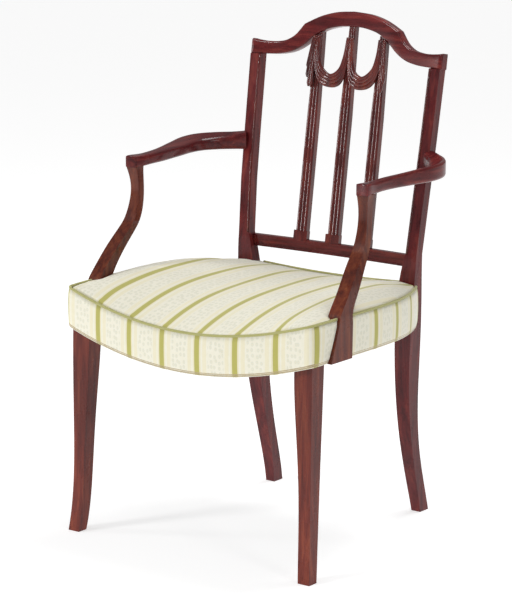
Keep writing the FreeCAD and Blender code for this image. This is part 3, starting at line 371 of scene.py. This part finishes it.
def soften(names, width, segments=3, angle=32):
    """Ease the edges of carried solids, as a finished piece's are."""
    for name in names:
        piece = nodes[name]
        weld = piece.modifiers.new("weld", "WELD")
        weld.merge_threshold = 0.00002
        bevel = piece.modifiers.new("eased_edges", "BEVEL")
        bevel.width = width
        bevel.segments = segments
        bevel.limit_method = "ANGLE"
        bevel.angle_limit = math.radians(angle)
        bevel.harden_normals = False
        bevel.use_clamp_overlap = True
        for polygon in piece.data.polygons:
            polygon.use_smooth = True
        normals = piece.modifiers.new("normals", "WEIGHTED_NORMAL")
        normals.keep_sharp = False


def pair(name):
    return [name + "_left", name + "_right"]


bar_names = ["splat_bar_left", "splat_bar_centre", "splat_bar_right"]
dress(pair("rear_leg"), upright)
dress(bar_names, carved)
dress(pair("arm_support"), supports)
dress(pair("front_leg"), warm_upright)
dress(["lower_back_rail"], crosswise)
dress(["front_seat_rail", "back_seat_rail"] + pair("side_seat_rail"), beech)
dress(pair("front_corner_block") + pair("rear_corner_block"), beech)
dress(["corner_block_screws", "arm_support_screws", "arm_screws"], steel)
dress(["webbing"], webbing_cloth)
dress(["hessian"], hessian_cloth)
dress(["dust_cover"], cambric)
soften(pair("arm_support"), 0.0028)
soften(pair("rear_leg"), 0.0035)
soften(pair("front_leg"), 0.0016)
soften(["lower_back_rail"], 0.0012)
soften(bar_names, 0.0006, 2, 40)


# Building pieces

FACING = Vector((0, -1, 0))


def new_piece(name, vertices, faces, look):
    mesh = bpy.data.meshes.new(name)
    mesh.from_pydata([tuple(v) for v in vertices], [], faces)
    mesh.materials.append(look)
    for polygon in mesh.polygons:
        polygon.use_smooth = True
    piece = bpy.data.objects.new(name, mesh)
    scene.collection.objects.link(piece)
    return piece


def grid_faces(rows, columns, closed=False):
    faces = []
    for i in range(rows - 1):
        for j in range(columns if closed else columns - 1):
            k = (j + 1) % columns
            faces.append((i * columns + j, i * columns + k, (i + 1) * columns + k, (i + 1) * columns + j))
    return faces


def join_pieces(pieces, name):
    bpy.ops.object.select_all(action="DESELECT")
    for piece in pieces:
        piece.select_set(True)
    bpy.context.view_layer.objects.active = pieces[0]
    bpy.ops.object.join()
    joined = bpy.context.view_layer.objects.active
    joined.name = name
    joined.data.name = name
    return joined


def finished(piece, slot, *replaced):
    """Tell the frame what a piece rides on, and hide the solids it stands for. The slot, what it is made of,
    is not used.
    """
    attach(piece, "root")
    if replaced:
        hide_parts(*replaced)


def tube(name, points, radii, look, sides=12, up=Vector((0, 0, 1))):
    """A round rod along points, with one radius or with a radius for each point."""
    vertices = []
    count = len(points)
    for i, point in enumerate(points):
        ahead = points[min(i + 1, count - 1)] - points[max(i - 1, 0)]
        tangent = ahead.normalized()
        side = tangent.cross(up)
        if side.length < 1e-5:
            side = tangent.cross(Vector((1, 0, 0)))
        side.normalize()
        over = side.cross(tangent).normalized()
        radius = radii[i] if isinstance(radii, (list, tuple)) else radii
        for k in range(sides):
            angle = 2 * math.pi * k / sides
            vertices.append(point + side * math.cos(angle) * radius + over * math.sin(angle) * radius)
    faces = [tuple(reversed(f)) for f in grid_faces(count, sides, True)]
    faces.append(tuple(range(sides)))
    faces.append(tuple(reversed(range((count - 1) * sides, count * sides))))
    return new_piece(name, vertices, faces, look)


def smooth_line(points, per_span=8):
    """A smooth line through points."""
    line = []
    points = [Vector(p) for p in points]
    for i in range(len(points) - 1):
        a, b = points[i], points[i + 1]
        before = points[i - 1] if i else a
        after = points[i + 2] if i + 2 < len(points) else b
        ha = a + (b - before) / 6
        hb = b - (after - a) / 6
        span = interpolate_bezier(a, ha, hb, b, per_span + 1)
        line += span[:-1]
    line.append(points[-1])
    return line


# Upholstery

# the support's block: height, and where its front and back edges are
BLOCK_EDGES = ((0.340, -0.2160, -0.1525), (0.385, -0.2144, -0.1528), (0.412, -0.2040, -0.1500),
               (0.448, -0.1885, -0.1475), (0.462, -0.1840, -0.1480))
GAP_FRONT = -0.1850
GAP_BACK = -0.1510
# how far from the middle the supports stand, and where the cloth starts to ease towards them
SUPPORT_NEAR = 0.24
EASE_FRONT = -0.243
EASE_BACK = -0.08


def support_gap(point):
    return abs(point.x) > SUPPORT_NEAR and GAP_FRONT < point.y < GAP_BACK


def block_edges(z):
    """The front and back edges of the support's block at a height."""
    for low, high in zip(BLOCK_EDGES, BLOCK_EDGES[1:]):
        if z <= high[0]:
            share = max(0.0, (z - low[0]) / (high[0] - low[0]))
            return tuple(a + (b - a) * share for a, b in zip(low[1:], high[1:]))
    return BLOCK_EDGES[-1][1:]


def against_block(point, z, room=0.0008):
    """A point of the seat's edge, moved so that the cloth runs up to the support's block."""
    if abs(point.x) < SUPPORT_NEAR:
        return point
    front, back = block_edges(z)
    moved = point.copy()
    if point.y <= GAP_FRONT + 1e-6:
        reach = max(0.0, (point.y - EASE_FRONT) / (GAP_FRONT - EASE_FRONT))
        moved.y += (front + room - GAP_FRONT) * reach ** 1.5
    elif point.y < EASE_BACK:
        reach = (EASE_BACK - point.y) / (EASE_BACK - GAP_BACK)
        moved.y += (back - room - GAP_BACK) * reach
    return moved


def rear_clear(point):
    """True where the seat's edge is clear of the rear legs."""
    return not (abs(point.x) > 0.162 and point.y > SEAT_REAR_Y - 0.0003)


def runs(path, keep_point):
    """The stretches of a path whose points are kept."""
    stretches = []
    current = []
    for point in path:
        if keep_point(point):
            current.append(point)
        elif current:
            stretches.append(current)
            current = []
    if current:
        stretches.append(current)
    return [s for s in stretches if len(s) > 2]


def fine_path(outset, back_y, step=0.004):
    """The seat's outline in even steps, with the distance gone, counted from the front's middle."""
    rough = seat_path(outset, back_y)
    points = [rough[0]]
    for a, b in zip(rough, rough[1:]):
        length = (b - a).length
        pieces = max(1, int(length / step))
        for k in range(1, pieces + 1):
            points.append(a.lerp(b, k / pieces))
    gone = [0.0]
    for a, b in zip(points, points[1:]):
        gone.append(gone[-1] + (b - a).length)
    middle = min(range(len(points)), key=lambda i: abs(points[i].x) + (1 if points[i].y > 0 else 0))
    return points, [g - gone[middle] for g in gone]


def add_attribute(piece, name, values):
    attribute = piece.data.attributes.new(name, "FLOAT", "POINT")
    attribute.data.foreach_set("value", values)


def band_piece(name, back=False):
    """The silk band round the seat's sides, a little proud in the middle of its height."""
    rows = 9
    pieces = []
    if back:
        line = [Vector((BACK_EDGE_HALF * (1 - 2 * i / 80), SEAT_BACK + BACK_EDGE_OUT)) for i in range(81)]
        gone = [p.x for p in line]
        stretches = [(line, gone)]
    else:
        points, gone = fine_path(0.0, SEAT_REAR_Y - 0.0005, 0.003)
        lookup = {id(p): g for p, g in zip(points, gone)}
        stretches = [(s, [lookup[id(p)] for p in s])
                     for s in runs(points, lambda p: rear_clear(p) and not support_gap(p))]
    for number, (stretch, lengths) in enumerate(stretches):
        vertices = []
        across = []
        along = []
        for r in range(rows):
            t = r / (rows - 1)
            proud = 0.0013 * math.sin(math.pi * t) - (0.0012 if r in (0, rows - 1) else 0)
            for i, p in enumerate(stretch):
                a = stretch[max(i - 1, 0)]
                b = stretch[min(i + 1, len(stretch) - 1)]
                out = Vector((-(b - a).y, (b - a).x)).normalized()
                q = p + out * proud * (-1 if back else 1)
                z = dished(p.x, p.y, -0.002 + (BORDER_TOP - 0.0005) * t)
                if not back:
                    q = against_block(q, z)
                vertices.append((q.x, q.y, z))
                across.append(stripe_place(p.x if back else -lengths[i]))
                along.append(z)
        faces = grid_faces(rows, len(stretch))
        piece = new_piece(f"{name}_{number}", vertices, faces, silk_cloth)
        add_attribute(piece, "across", across)
        add_attribute(piece, "along", along)
        pieces.append(piece)
    return pieces


border = band_piece("border") + band_piece("back_band", True)
border = join_pieces(border, "silk_border")
solid = border.modifiers.new("cloth", "SOLIDIFY")
solid.thickness = 0.0030
solid.offset = -1
finished(border, "striped_silk", "seat_border")


def edge_rod(name, outset, rise, radius, look, node_name, slot, offsets=((0, 0),)):
    """Cords laid round the seat's edge at a rise above the underside of the rails.
    Each offset gives a cord its own place outward and upward."""
    pieces = []
    for n, (dx, dz) in enumerate(offsets):
        points = fine_path(outset + dx, SEAT_REAR_Y - 0.0005, 0.004)[0]
        lines = runs(points, lambda p: rear_clear(p) and not support_gap(p))
        back_y = SEAT_BACK + BACK_EDGE_OUT + outset + dx
        lines.append([Vector((BACK_EDGE_HALF * (1 - 2 * i / 60), back_y)) for i in range(61)])
        for k, line in enumerate(lines):
            track = []
            for p in line:
                z = dished(p.x, p.y, rise + dz)
                q = against_block(p, z) if p.y < 0 else p
                track.append(Vector((q.x, q.y, z)))
            pieces.append(tube(f"{name}_{n}_{k}", track, radius, look, 10))
    finished(join_pieces(pieces, name), slot, node_name)


edge_rod("welt", 0.0, BORDER_TOP, 0.0026, welt_cloth, "welt_cord", "welt_green")
edge_rod("gimp", 0.0009, 0.0, 0.0017, gimp_cloth, "gimp_braid", "gimp_gold",
         ((0, 0.0058), (0.0004, 0.0029), (0, 0.0)))


MOST_SWELL = 0.005
WELT_REACH = 0.014
WELT_PULL = 0.55


def beside_support(x, y):
    return abs(x) > SUPPORT_NEAR and -0.2 < y < -0.13


def cushion():
    """The stuffed top of the seat: the solid's form, swelled as cloth over its stuffing."""
    copies = []
    for name in ("seat_cover", "horsehair_stuffing"):
        copy = nodes[name].copy()
        copy.data = nodes[name].data.copy()
        copy.parent = None
        for key in list(copy.keys()):
            del copy[key]
        copy.modifiers.clear()
        scene.collection.objects.link(copy)
        copies.append(copy)
    top = join_pieces(copies, "silk_seat")
    bpy.context.view_layer.objects.active = top
    remesh = top.modifiers.new("remesh", "REMESH")
    remesh.mode = "VOXEL"
    remesh.voxel_size = 0.0048
    bpy.ops.object.modifier_apply(modifier="remesh")
    smooth = top.modifiers.new("smooth", "SMOOTH")
    smooth.factor = 0.5
    smooth.iterations = 6
    bpy.ops.object.modifier_apply(modifier="smooth")
    rest = [v.co.copy() for v in top.data.vertices]
    pinned = top.vertex_groups.new(name="pinned")
    for v in top.data.vertices:
        edge = dished(v.co.x, v.co.y, BORDER_TOP)
        low = 1.0 if v.co.z < edge + 0.002 else 0.0
        pinned.add([v.index], low, "REPLACE")
    cloth = top.modifiers.new("cloth", "CLOTH")
    settings = cloth.settings
    settings.quality = 6
    settings.mass = 0.3
    settings.tension_stiffness = 18
    settings.compression_stiffness = 18
    settings.shear_stiffness = 6
    settings.bending_stiffness = 0.8
    settings.use_pressure = True
    settings.uniform_pressure_force = 4
    settings.vertex_group_mass = "pinned"
    settings.effector_weights.gravity = 0
    cloth.point_cache.frame_start = 1
    cloth.point_cache.frame_end = 20
    for step in range(1, 21):
        scene.frame_set(step)
    bpy.context.view_layer.objects.active = top
    bpy.ops.object.modifier_apply(modifier="cloth")
    scene.frame_set(1)
    for v, start in zip(top.data.vertices, rest):
        move = v.co - start
        if move.length > MOST_SWELL:
            v.co = start + move.normalized() * MOST_SWELL
    subdivide = top.modifiers.new("finer", "SUBSURF")
    subdivide.levels = 1
    subdivide.render_levels = 1
    bpy.context.view_layer.objects.active = top
    bpy.ops.object.modifier_apply(modifier="finer")
    top.data.materials.clear()
    top.data.materials.append(silk_cloth)
    for polygon in top.data.polygons:
        polygon.use_smooth = True
        polygon.material_index = 0
    # the cloth is drawn out to the welt all round
    edge_line = fine_path(-0.0005, SEAT_BACK + 0.0035, 0.002)[0]
    tree = KDTree(len(edge_line))
    for i, p in enumerate(edge_line):
        tree.insert((p.x, p.y, 0), i)
    tree.balance()
    for v in top.data.vertices:
        near, index, distance = tree.find((v.co.x, v.co.y, 0))
        if distance < WELT_REACH and not beside_support(v.co.x, v.co.y):
            pull = WELT_PULL * (1 - distance / WELT_REACH)
            v.co.x += (near.x - v.co.x) * pull
            v.co.y += (near.y - v.co.y) * pull
    add_attribute(top, "across", [stripe_place(v.co.x) for v in top.data.vertices])
    add_attribute(top, "along", [v.co.y for v in top.data.vertices])
    finished(top, "striped_silk", "seat_cover", "horsehair_stuffing")


cushion()

# Carved swags: strands that spring from the tops of the bars and hang in a loop

# each swag's lower and upper edge, from the outer bar to the middle: across, and height up the rake
CARVING_TOP = 0.386
SWAG_STRANDS = (0.06, 0.36, 0.66, 0.95)
SWAG_LOWER = [(0.0725, 0.386), (0.0735, 0.342), (0.0600, 0.3035), (0.0350, 0.2935),
              (0.0125, 0.3010), (0.0025, 0.338), (0.0015, 0.386)]
SWAG_UPPER = [(0.0665, 0.386), (0.0655, 0.356), (0.0590, 0.3300), (0.0370, 0.3130),
              (0.0165, 0.325), (0.0090, 0.350), (0.0062, 0.386)]


def swag(side, sign):
    strands = []
    for n, share in enumerate(SWAG_STRANDS):
        track = []
        for (ax, au), (bx, bu) in zip(SWAG_LOWER, SWAG_UPPER):
            x = (ax + (bx - ax) * share) * sign
            up = au + (bu - au) * share
            track.append((x, up, 0))
        line = smooth_line(track, 8)
        count = len(line)
        points = []
        radii = []
        for i, p in enumerate(line):
            t = i / (count - 1)
            belly = math.sin(math.pi * t)
            forward = 0.0005 + 0.0035 * belly + 0.0012 * math.sin(math.pi * share)
            points.append(back_point(p.x, p.y, forward))
            radii.append(0.0024 + 0.0018 * belly ** 1.5)
        strands.append(tube(f"strand_{side}_{n}", points, radii, carved, 12, up=FACING))
    finished(join_pieces(strands, "carved_swag_" + side), "mahogany", "swag_" + side)


# each fold of a tail: place across at the top, then at its end, the height of its end, and its radius
TAIL_FOLDS = ((0.0735, 0.0775, 0.2880, 0.0038), (0.0760, 0.0822, 0.2890, 0.0042),
              (0.0782, 0.0862, 0.3060, 0.0042), (0.0797, 0.0868, 0.3240, 0.0036))
FOLD_TOP_RADIUS = 0.0016


def tail(side, sign):
    folds = []
    for n, (top_x, end_x, end_up, end_radius) in enumerate(TAIL_FOLDS):
        points = []
        radii = []
        for i in range(15):
            t = i / 14
            x = top_x + (end_x - top_x) * t ** 0.7
            up = CARVING_TOP + (end_up - CARVING_TOP) * t
            points.append(back_point(x * sign, up, 0.0005 + 0.0028 * t + 0.0006 * n))
            radii.append((FOLD_TOP_RADIUS + (end_radius - FOLD_TOP_RADIUS) * t) * (1 if i < 14 else 0.35))
        folds.append(tube(f"fold_{side}_{n}", points, radii, carved, 10, up=FACING))
    finished(join_pieces(folds, "carved_tail_" + side), "mahogany", "drapery_tail_" + side)


for side, sign in (("left", -1), ("right", 1)):
    swag(side, sign)
    tail(side, sign)

# Arms: rounded sections swept from the tip, round the bow and into the rear leg

# each section: centre across, centre along, level of the underside, width, height, fall of the top inward
ARM = (
    (0.2583, -0.0880, 0.6560, 0.0241, 0.0206, 0.0003),
    (0.2583, -0.0872, 0.6560, 0.0244, 0.0209, 0.0005),
    (0.2582, -0.0800, 0.6560, 0.0244, 0.0216, 0.0010),
    (0.2563, -0.0540, 0.6562, 0.0212, 0.0219, 0.0018),
    (0.2568, -0.0050, 0.6573, 0.0220, 0.0247, 0.0046),
    (0.2656, 0.0520, 0.6585, 0.0260, 0.0288, 0.0090),
    (0.2728, 0.0960, 0.6594, 0.0290, 0.0314, 0.0112),
    (0.2690, 0.1310, 0.6601, 0.0288, 0.0328, 0.0116),
    (0.2508, 0.1590, 0.6605, 0.0272, 0.0334, 0.0108),
    (0.2308, 0.1790, 0.6605, 0.0252, 0.0336, 0.0086),
    (0.2170, 0.1905, 0.6603, 0.0240, 0.0344, 0.0050),
    (0.2085, 0.1970, 0.6598, 0.0236, 0.0354, 0.0020),
)


def rounded_section(width, height, top_round, low_round, cant):
    """Points round a rounded rectangle, its top falling towards the inner side."""
    points = []
    corners = ((width / 2 - top_round, height - top_round, top_round, 0),
               (-width / 2 + top_round, height - top_round, top_round, 90),
               (-width / 2 + low_round, low_round, low_round, 180),
               (width / 2 - low_round, low_round, low_round, 270))
    for x, z, radius, start in corners:
        for k in range(6):
            angle = math.radians(start + 18 * k)
            across = x + radius * math.cos(angle)
            up = z + radius * math.sin(angle)
            fall = cant * (0.5 - across / width) * max(0.0, up / height)
            points.append((across, up - fall))
    return points


ARM_TIP = -0.088


def arm(side, sign):
    centres = smooth_line([(a[0], a[1], a[2]) for a in ARM], 6)
    shapes = smooth_line([(a[3], a[4], a[5]) for a in ARM], 6)
    vertices = []
    count = len(centres)
    for i, (centre, shape) in enumerate(zip(centres, shapes)):
        ahead = centres[min(i + 1, count - 1)] - centres[max(i - 1, 0)]
        outward = Vector((ahead.y, -ahead.x, 0)).normalized()
        width, height, cant = shape
        behind_tip = max(0.0, centre.y - ARM_TIP)
        top_round = min(0.0062, 0.0026 + 0.10 * behind_tip)
        low_round = min(0.0075, 0.0012 + 0.12 * behind_tip)
        for across, up in rounded_section(width, height, top_round, low_round, cant):
            q = centre + outward * across
            vertices.append((q.x * sign, q.y, centre.z + up))
    sides = len(vertices) // count
    faces = grid_faces(count, sides, True)
    # the ends keep their own points, so that they are drawn flat
    first = len(vertices)
    vertices += vertices[:sides] + vertices[(count - 1) * sides:count * sides]
    faces.append(tuple(reversed(range(first, first + sides))))
    faces.append(tuple(range(first + sides, first + 2 * sides)))
    if sign > 0:
        faces = [tuple(reversed(f)) for f in faces]
    finished(new_piece("swept_arm_" + side, vertices, faces, lengthwise), "mahogany", "arm_" + side)


# Beads run along the inner front edges of the rear legs, above the seat

# each: height, and where the leg's outer side and its front are there
STILE = ((0.505, 0.2034, 0.1675), (0.6061, 0.2083, 0.1809), (0.7072, 0.2115, 0.1974),
         (0.840, 0.2146, 0.2187))
BEAD_IN = 0.0212
BEAD_RADIUS = 0.0021


def stile_bead(side, sign):
    track = smooth_line([((outer - BEAD_IN) * sign, front + 0.0004, z) for z, outer, front in STILE], 4)
    return tube("stile_bead_" + side, track, BEAD_RADIUS, carved, 8, up=FACING)


# Crest rail

# its upper and lower edge in pairs, from the end of the rail to the shoulder and on to the middle
# each: upper edge across and up the rake, lower edge across and up the rake
CREST_END = (
    (0.2160, 0.3708, 0.2160, 0.3418), (0.2050, 0.3693, 0.2030, 0.3423), (0.1900, 0.3682, 0.1850, 0.3434),
    (0.1720, 0.3682, 0.1650, 0.3446), (0.1570, 0.3696, 0.1470, 0.3472), (0.1440, 0.3726, 0.1310, 0.3512),
    (0.1325, 0.3784, 0.1165, 0.3578), (0.1240, 0.3848, 0.1055, 0.3648), (0.1170, 0.3926, 0.0970, 0.3716),
    (0.1105, 0.4010, 0.0905, 0.3776), (0.1070, 0.4056, 0.0855, 0.3816))
CREST_ARCH = (
    (0.1070, 0.4056, 0.0855, 0.3816), (0.0980, 0.4104, 0.0770, 0.3878), (0.0840, 0.4174, 0.0650, 0.3952),
    (0.0680, 0.4240, 0.0520, 0.4002), (0.0500, 0.4293, 0.0380, 0.4036), (0.0300, 0.4331, 0.0220, 0.4062),
    (0.0000, 0.4353, 0.0000, 0.4072))
CREST_THICK = 0.0195
CREST_TOP_ROUND = 0.0042
CREST_LOW_ROUND = 0.0026
CREST_BACK_ROUND = 0.0016
CREST_END_ROUND = 0.0035


def crest_ring(upper, lower, upper_out, lower_out, set_back):
    """One section of the crest rail, from the middle of its face round over the top and back."""
    ring = []
    for edge, out, radius, over in ((upper, upper_out, CREST_TOP_ROUND, True),
                                    (lower, lower_out, CREST_LOW_ROUND, False)):
        corner = []
        for k in range(5):
            angle = math.radians(22.5 * k)
            p = edge - out * radius * (1 - math.sin(angle))
            corner.append(back_point(p.x, p.y, -radius * (1 - math.cos(angle)) - set_back))
        for k in range(4):
            angle = math.radians(30 * k)
            p = edge - out * CREST_BACK_ROUND * (1 - math.cos(angle))
            corner.append(back_point(p.x, p.y, -CREST_THICK + CREST_BACK_ROUND * (1 - math.sin(angle))))
        ring += corner if over else list(reversed(corner))
    return ring


def crest_stretch(pairs, both_sides, start_out, end_out):
    """Sections of the rail between two corners of its outline, and its edges.
    The first and the last section can be mitred at their upper edge."""
    tops = smooth_line([(a, b, 0) for a, b, c, e in pairs], 5)
    lows = smooth_line([(c, e, 0) for a, b, c, e in pairs], 5)
    if both_sides:
        tops += [Vector((-p.x, p.y, 0)) for p in reversed(tops[:-1])]
        lows += [Vector((-p.x, p.y, 0)) for p in reversed(lows[:-1])]
    rings = []
    last = len(tops) - 1
    for i, (top, low) in enumerate(zip(tops, lows)):
        outs = []
        for line, turn in ((tops, 1), (lows, -1)):
            ahead = (line[min(i + 1, last)] - line[max(i - 1, 0)]).normalized()
            outs.append(Vector((ahead.y, -ahead.x, 0)) * turn)
        top_out, low_out = outs
        if i == 0 and start_out:
            top_out = start_out
        if i == last and end_out:
            top_out = end_out
        rings.append(crest_ring(top, low, top_out, low_out, 0))
    return rings, tops, lows


def crest_rail():
    # the upper edge turns sharply at the shoulder, and both stretches share one mitre there
    meet = Vector((CREST_END[-1][0], CREST_END[-1][1], 0))
    before = (meet - Vector((CREST_END[-2][0], CREST_END[-2][1], 0))).normalized()
    after = (Vector((CREST_ARCH[1][0], CREST_ARCH[1][1], 0)) - meet).normalized()
    mitre = Vector((before.y + after.y, -before.x - after.x, 0)).normalized()
    mitre *= 1 / max(0.5, mitre.dot(Vector((before.y, -before.x, 0))))
    other = Vector((-mitre.x, mitre.y, 0))
    pieces = []
    arch = crest_stretch(CREST_ARCH, True, mitre, other)[0]
    end, tops, lows = crest_stretch(CREST_END, False, None, mitre)
    # the face turns back a little at the very end of the rail
    up, down = Vector((0, 1, 0)), Vector((0, -1, 0))
    turned = []
    for inset, back in ((0.0, 0.0040), (0.0006, 0.0022), (0.0018, 0.0008)):
        drawn_in = Vector((inset, 0, 0))
        turned.append(crest_ring(tops[0] - drawn_in, lows[0] - drawn_in, up, down, back))
    end = turned + [ring for ring, top in zip(end, tops) if top.x < CREST_HALF - CREST_END_ROUND]
    left = [[Vector((-p[0], p[1], p[2])) for p in ring] for ring in end]
    for name, rings, flip in (("arch", arch, False), ("right", end, False), ("left", left, True)):
        sides = len(rings[0])
        vertices = [tuple(p) for ring in rings for p in ring]
        faces = grid_faces(len(rings), sides, True)
        if name != "arch":
            vertices += vertices[:sides]
            faces.append(tuple(reversed(range(len(vertices) - sides, len(vertices)))))
        if flip:
            faces = [tuple(reversed(f)) for f in faces]
        pieces.append(new_piece("crest_" + name, vertices, faces, crosswise))
    finished(join_pieces(pieces, "swept_crest"), "mahogany", "crest_rail")


finished(join_pieces([stile_bead("left", -1), stile_bead("right", 1)], "stile_beads"), "mahogany")
crest_rail()
for side, sign in (("left", -1), ("right", 1)):
    arm(side, sign)

# Floor, light and camera

FLOOR_HALF = 12
corners = [(-FLOOR_HALF, -FLOOR_HALF, 0), (FLOOR_HALF, -FLOOR_HALF, 0),
           (FLOOR_HALF, FLOOR_HALF, 0), (-FLOOR_HALF, FLOOR_HALF, 0)]
floor_mesh = bpy.data.meshes.new("floor")
floor_mesh.from_pydata(corners, [], [(0, 1, 2, 3)])
floor = bpy.data.objects.new("floor", floor_mesh)
scene.collection.objects.link(floor)
floor_look = material("pale_floor", (0.6, 0.6, 0.6), 0.8, Specular_IOR_Level=0.1,
                      Emission_Color=(1, 1, 1, 1), Emission_Strength=0.65)[0]
floor_mesh.materials.append(floor_look)

# a white backdrop in a dimmer room
world = bpy.data.worlds.new("studio")
scene.world = world
world.use_nodes = True
sky = world.node_tree
sky.nodes["Background"].inputs["Color"].default_value = (1.0, 1.0, 1.0, 1)
ROOM = 0.30
BACKDROP = 1.02
seen = node(sky, "LightPath").outputs["Is Camera Ray"]
sky.links.new(maths(sky, "MULTIPLY_ADD", seen, BACKDROP, ROOM), sky.nodes["Background"].inputs["Strength"])


def aimed(place, target):
    """The turn of a lamp at a place that shines on a target."""
    return (Vector(target) - Vector(place)).to_track_quat("-Z", "Y").to_euler()


def area_light(name, place, target, size, power):
    data = bpy.data.lights.new(name, "AREA")
    data.shape = "RECTANGLE"
    data.size, data.size_y = size
    data.energy = power
    lamp = bpy.data.objects.new(name, data)
    lamp.location = place
    lamp.rotation_euler = aimed(place, target)
    scene.collection.objects.link(lamp)


sun_data = bpy.data.lights.new("key", "SUN")
sun_data.energy = 1.0
sun_data.angle = math.radians(12)
sun = bpy.data.objects.new("key", sun_data)
sun.rotation_euler = aimed((-1.7, -3.2, 3.2), (0, 0, 0.5))
scene.collection.objects.link(sun)
area_light("low", (-3.7, -2.2, 1.0), (0, 0.2, 0.7), (0.6, 1.3), 44)
area_light("fill", (3.2, -1.2, 1.6), (0, 0, 0.5), (0.6, 1.4), 14)
area_light("top", (0.3, 0.9, 3.2), (0, 0, 0.4), (1.4, 1.0), 46)

camera_data = bpy.data.cameras.new("camera")
camera_data.lens = 155.52
camera_data.sensor_width = 36
camera_data.shift_x = 0.0264
camera_data.shift_y = -0.0106
camera_data.clip_end = 100
camera = bpy.data.objects.new("camera", camera_data)
camera.location = (2.7699, -3.7418, 1.4197)
azimuth = math.radians(37.23)
elevation = math.radians(11.96)
look = Vector((-math.sin(azimuth) * math.cos(elevation), math.cos(azimuth) * math.cos(elevation),
               -math.sin(elevation)))
camera.rotation_euler = look.to_track_quat("-Z", "Y").to_euler()
scene.collection.objects.link(camera)
scene.camera = camera
scene.view_settings.view_transform = "Standard"
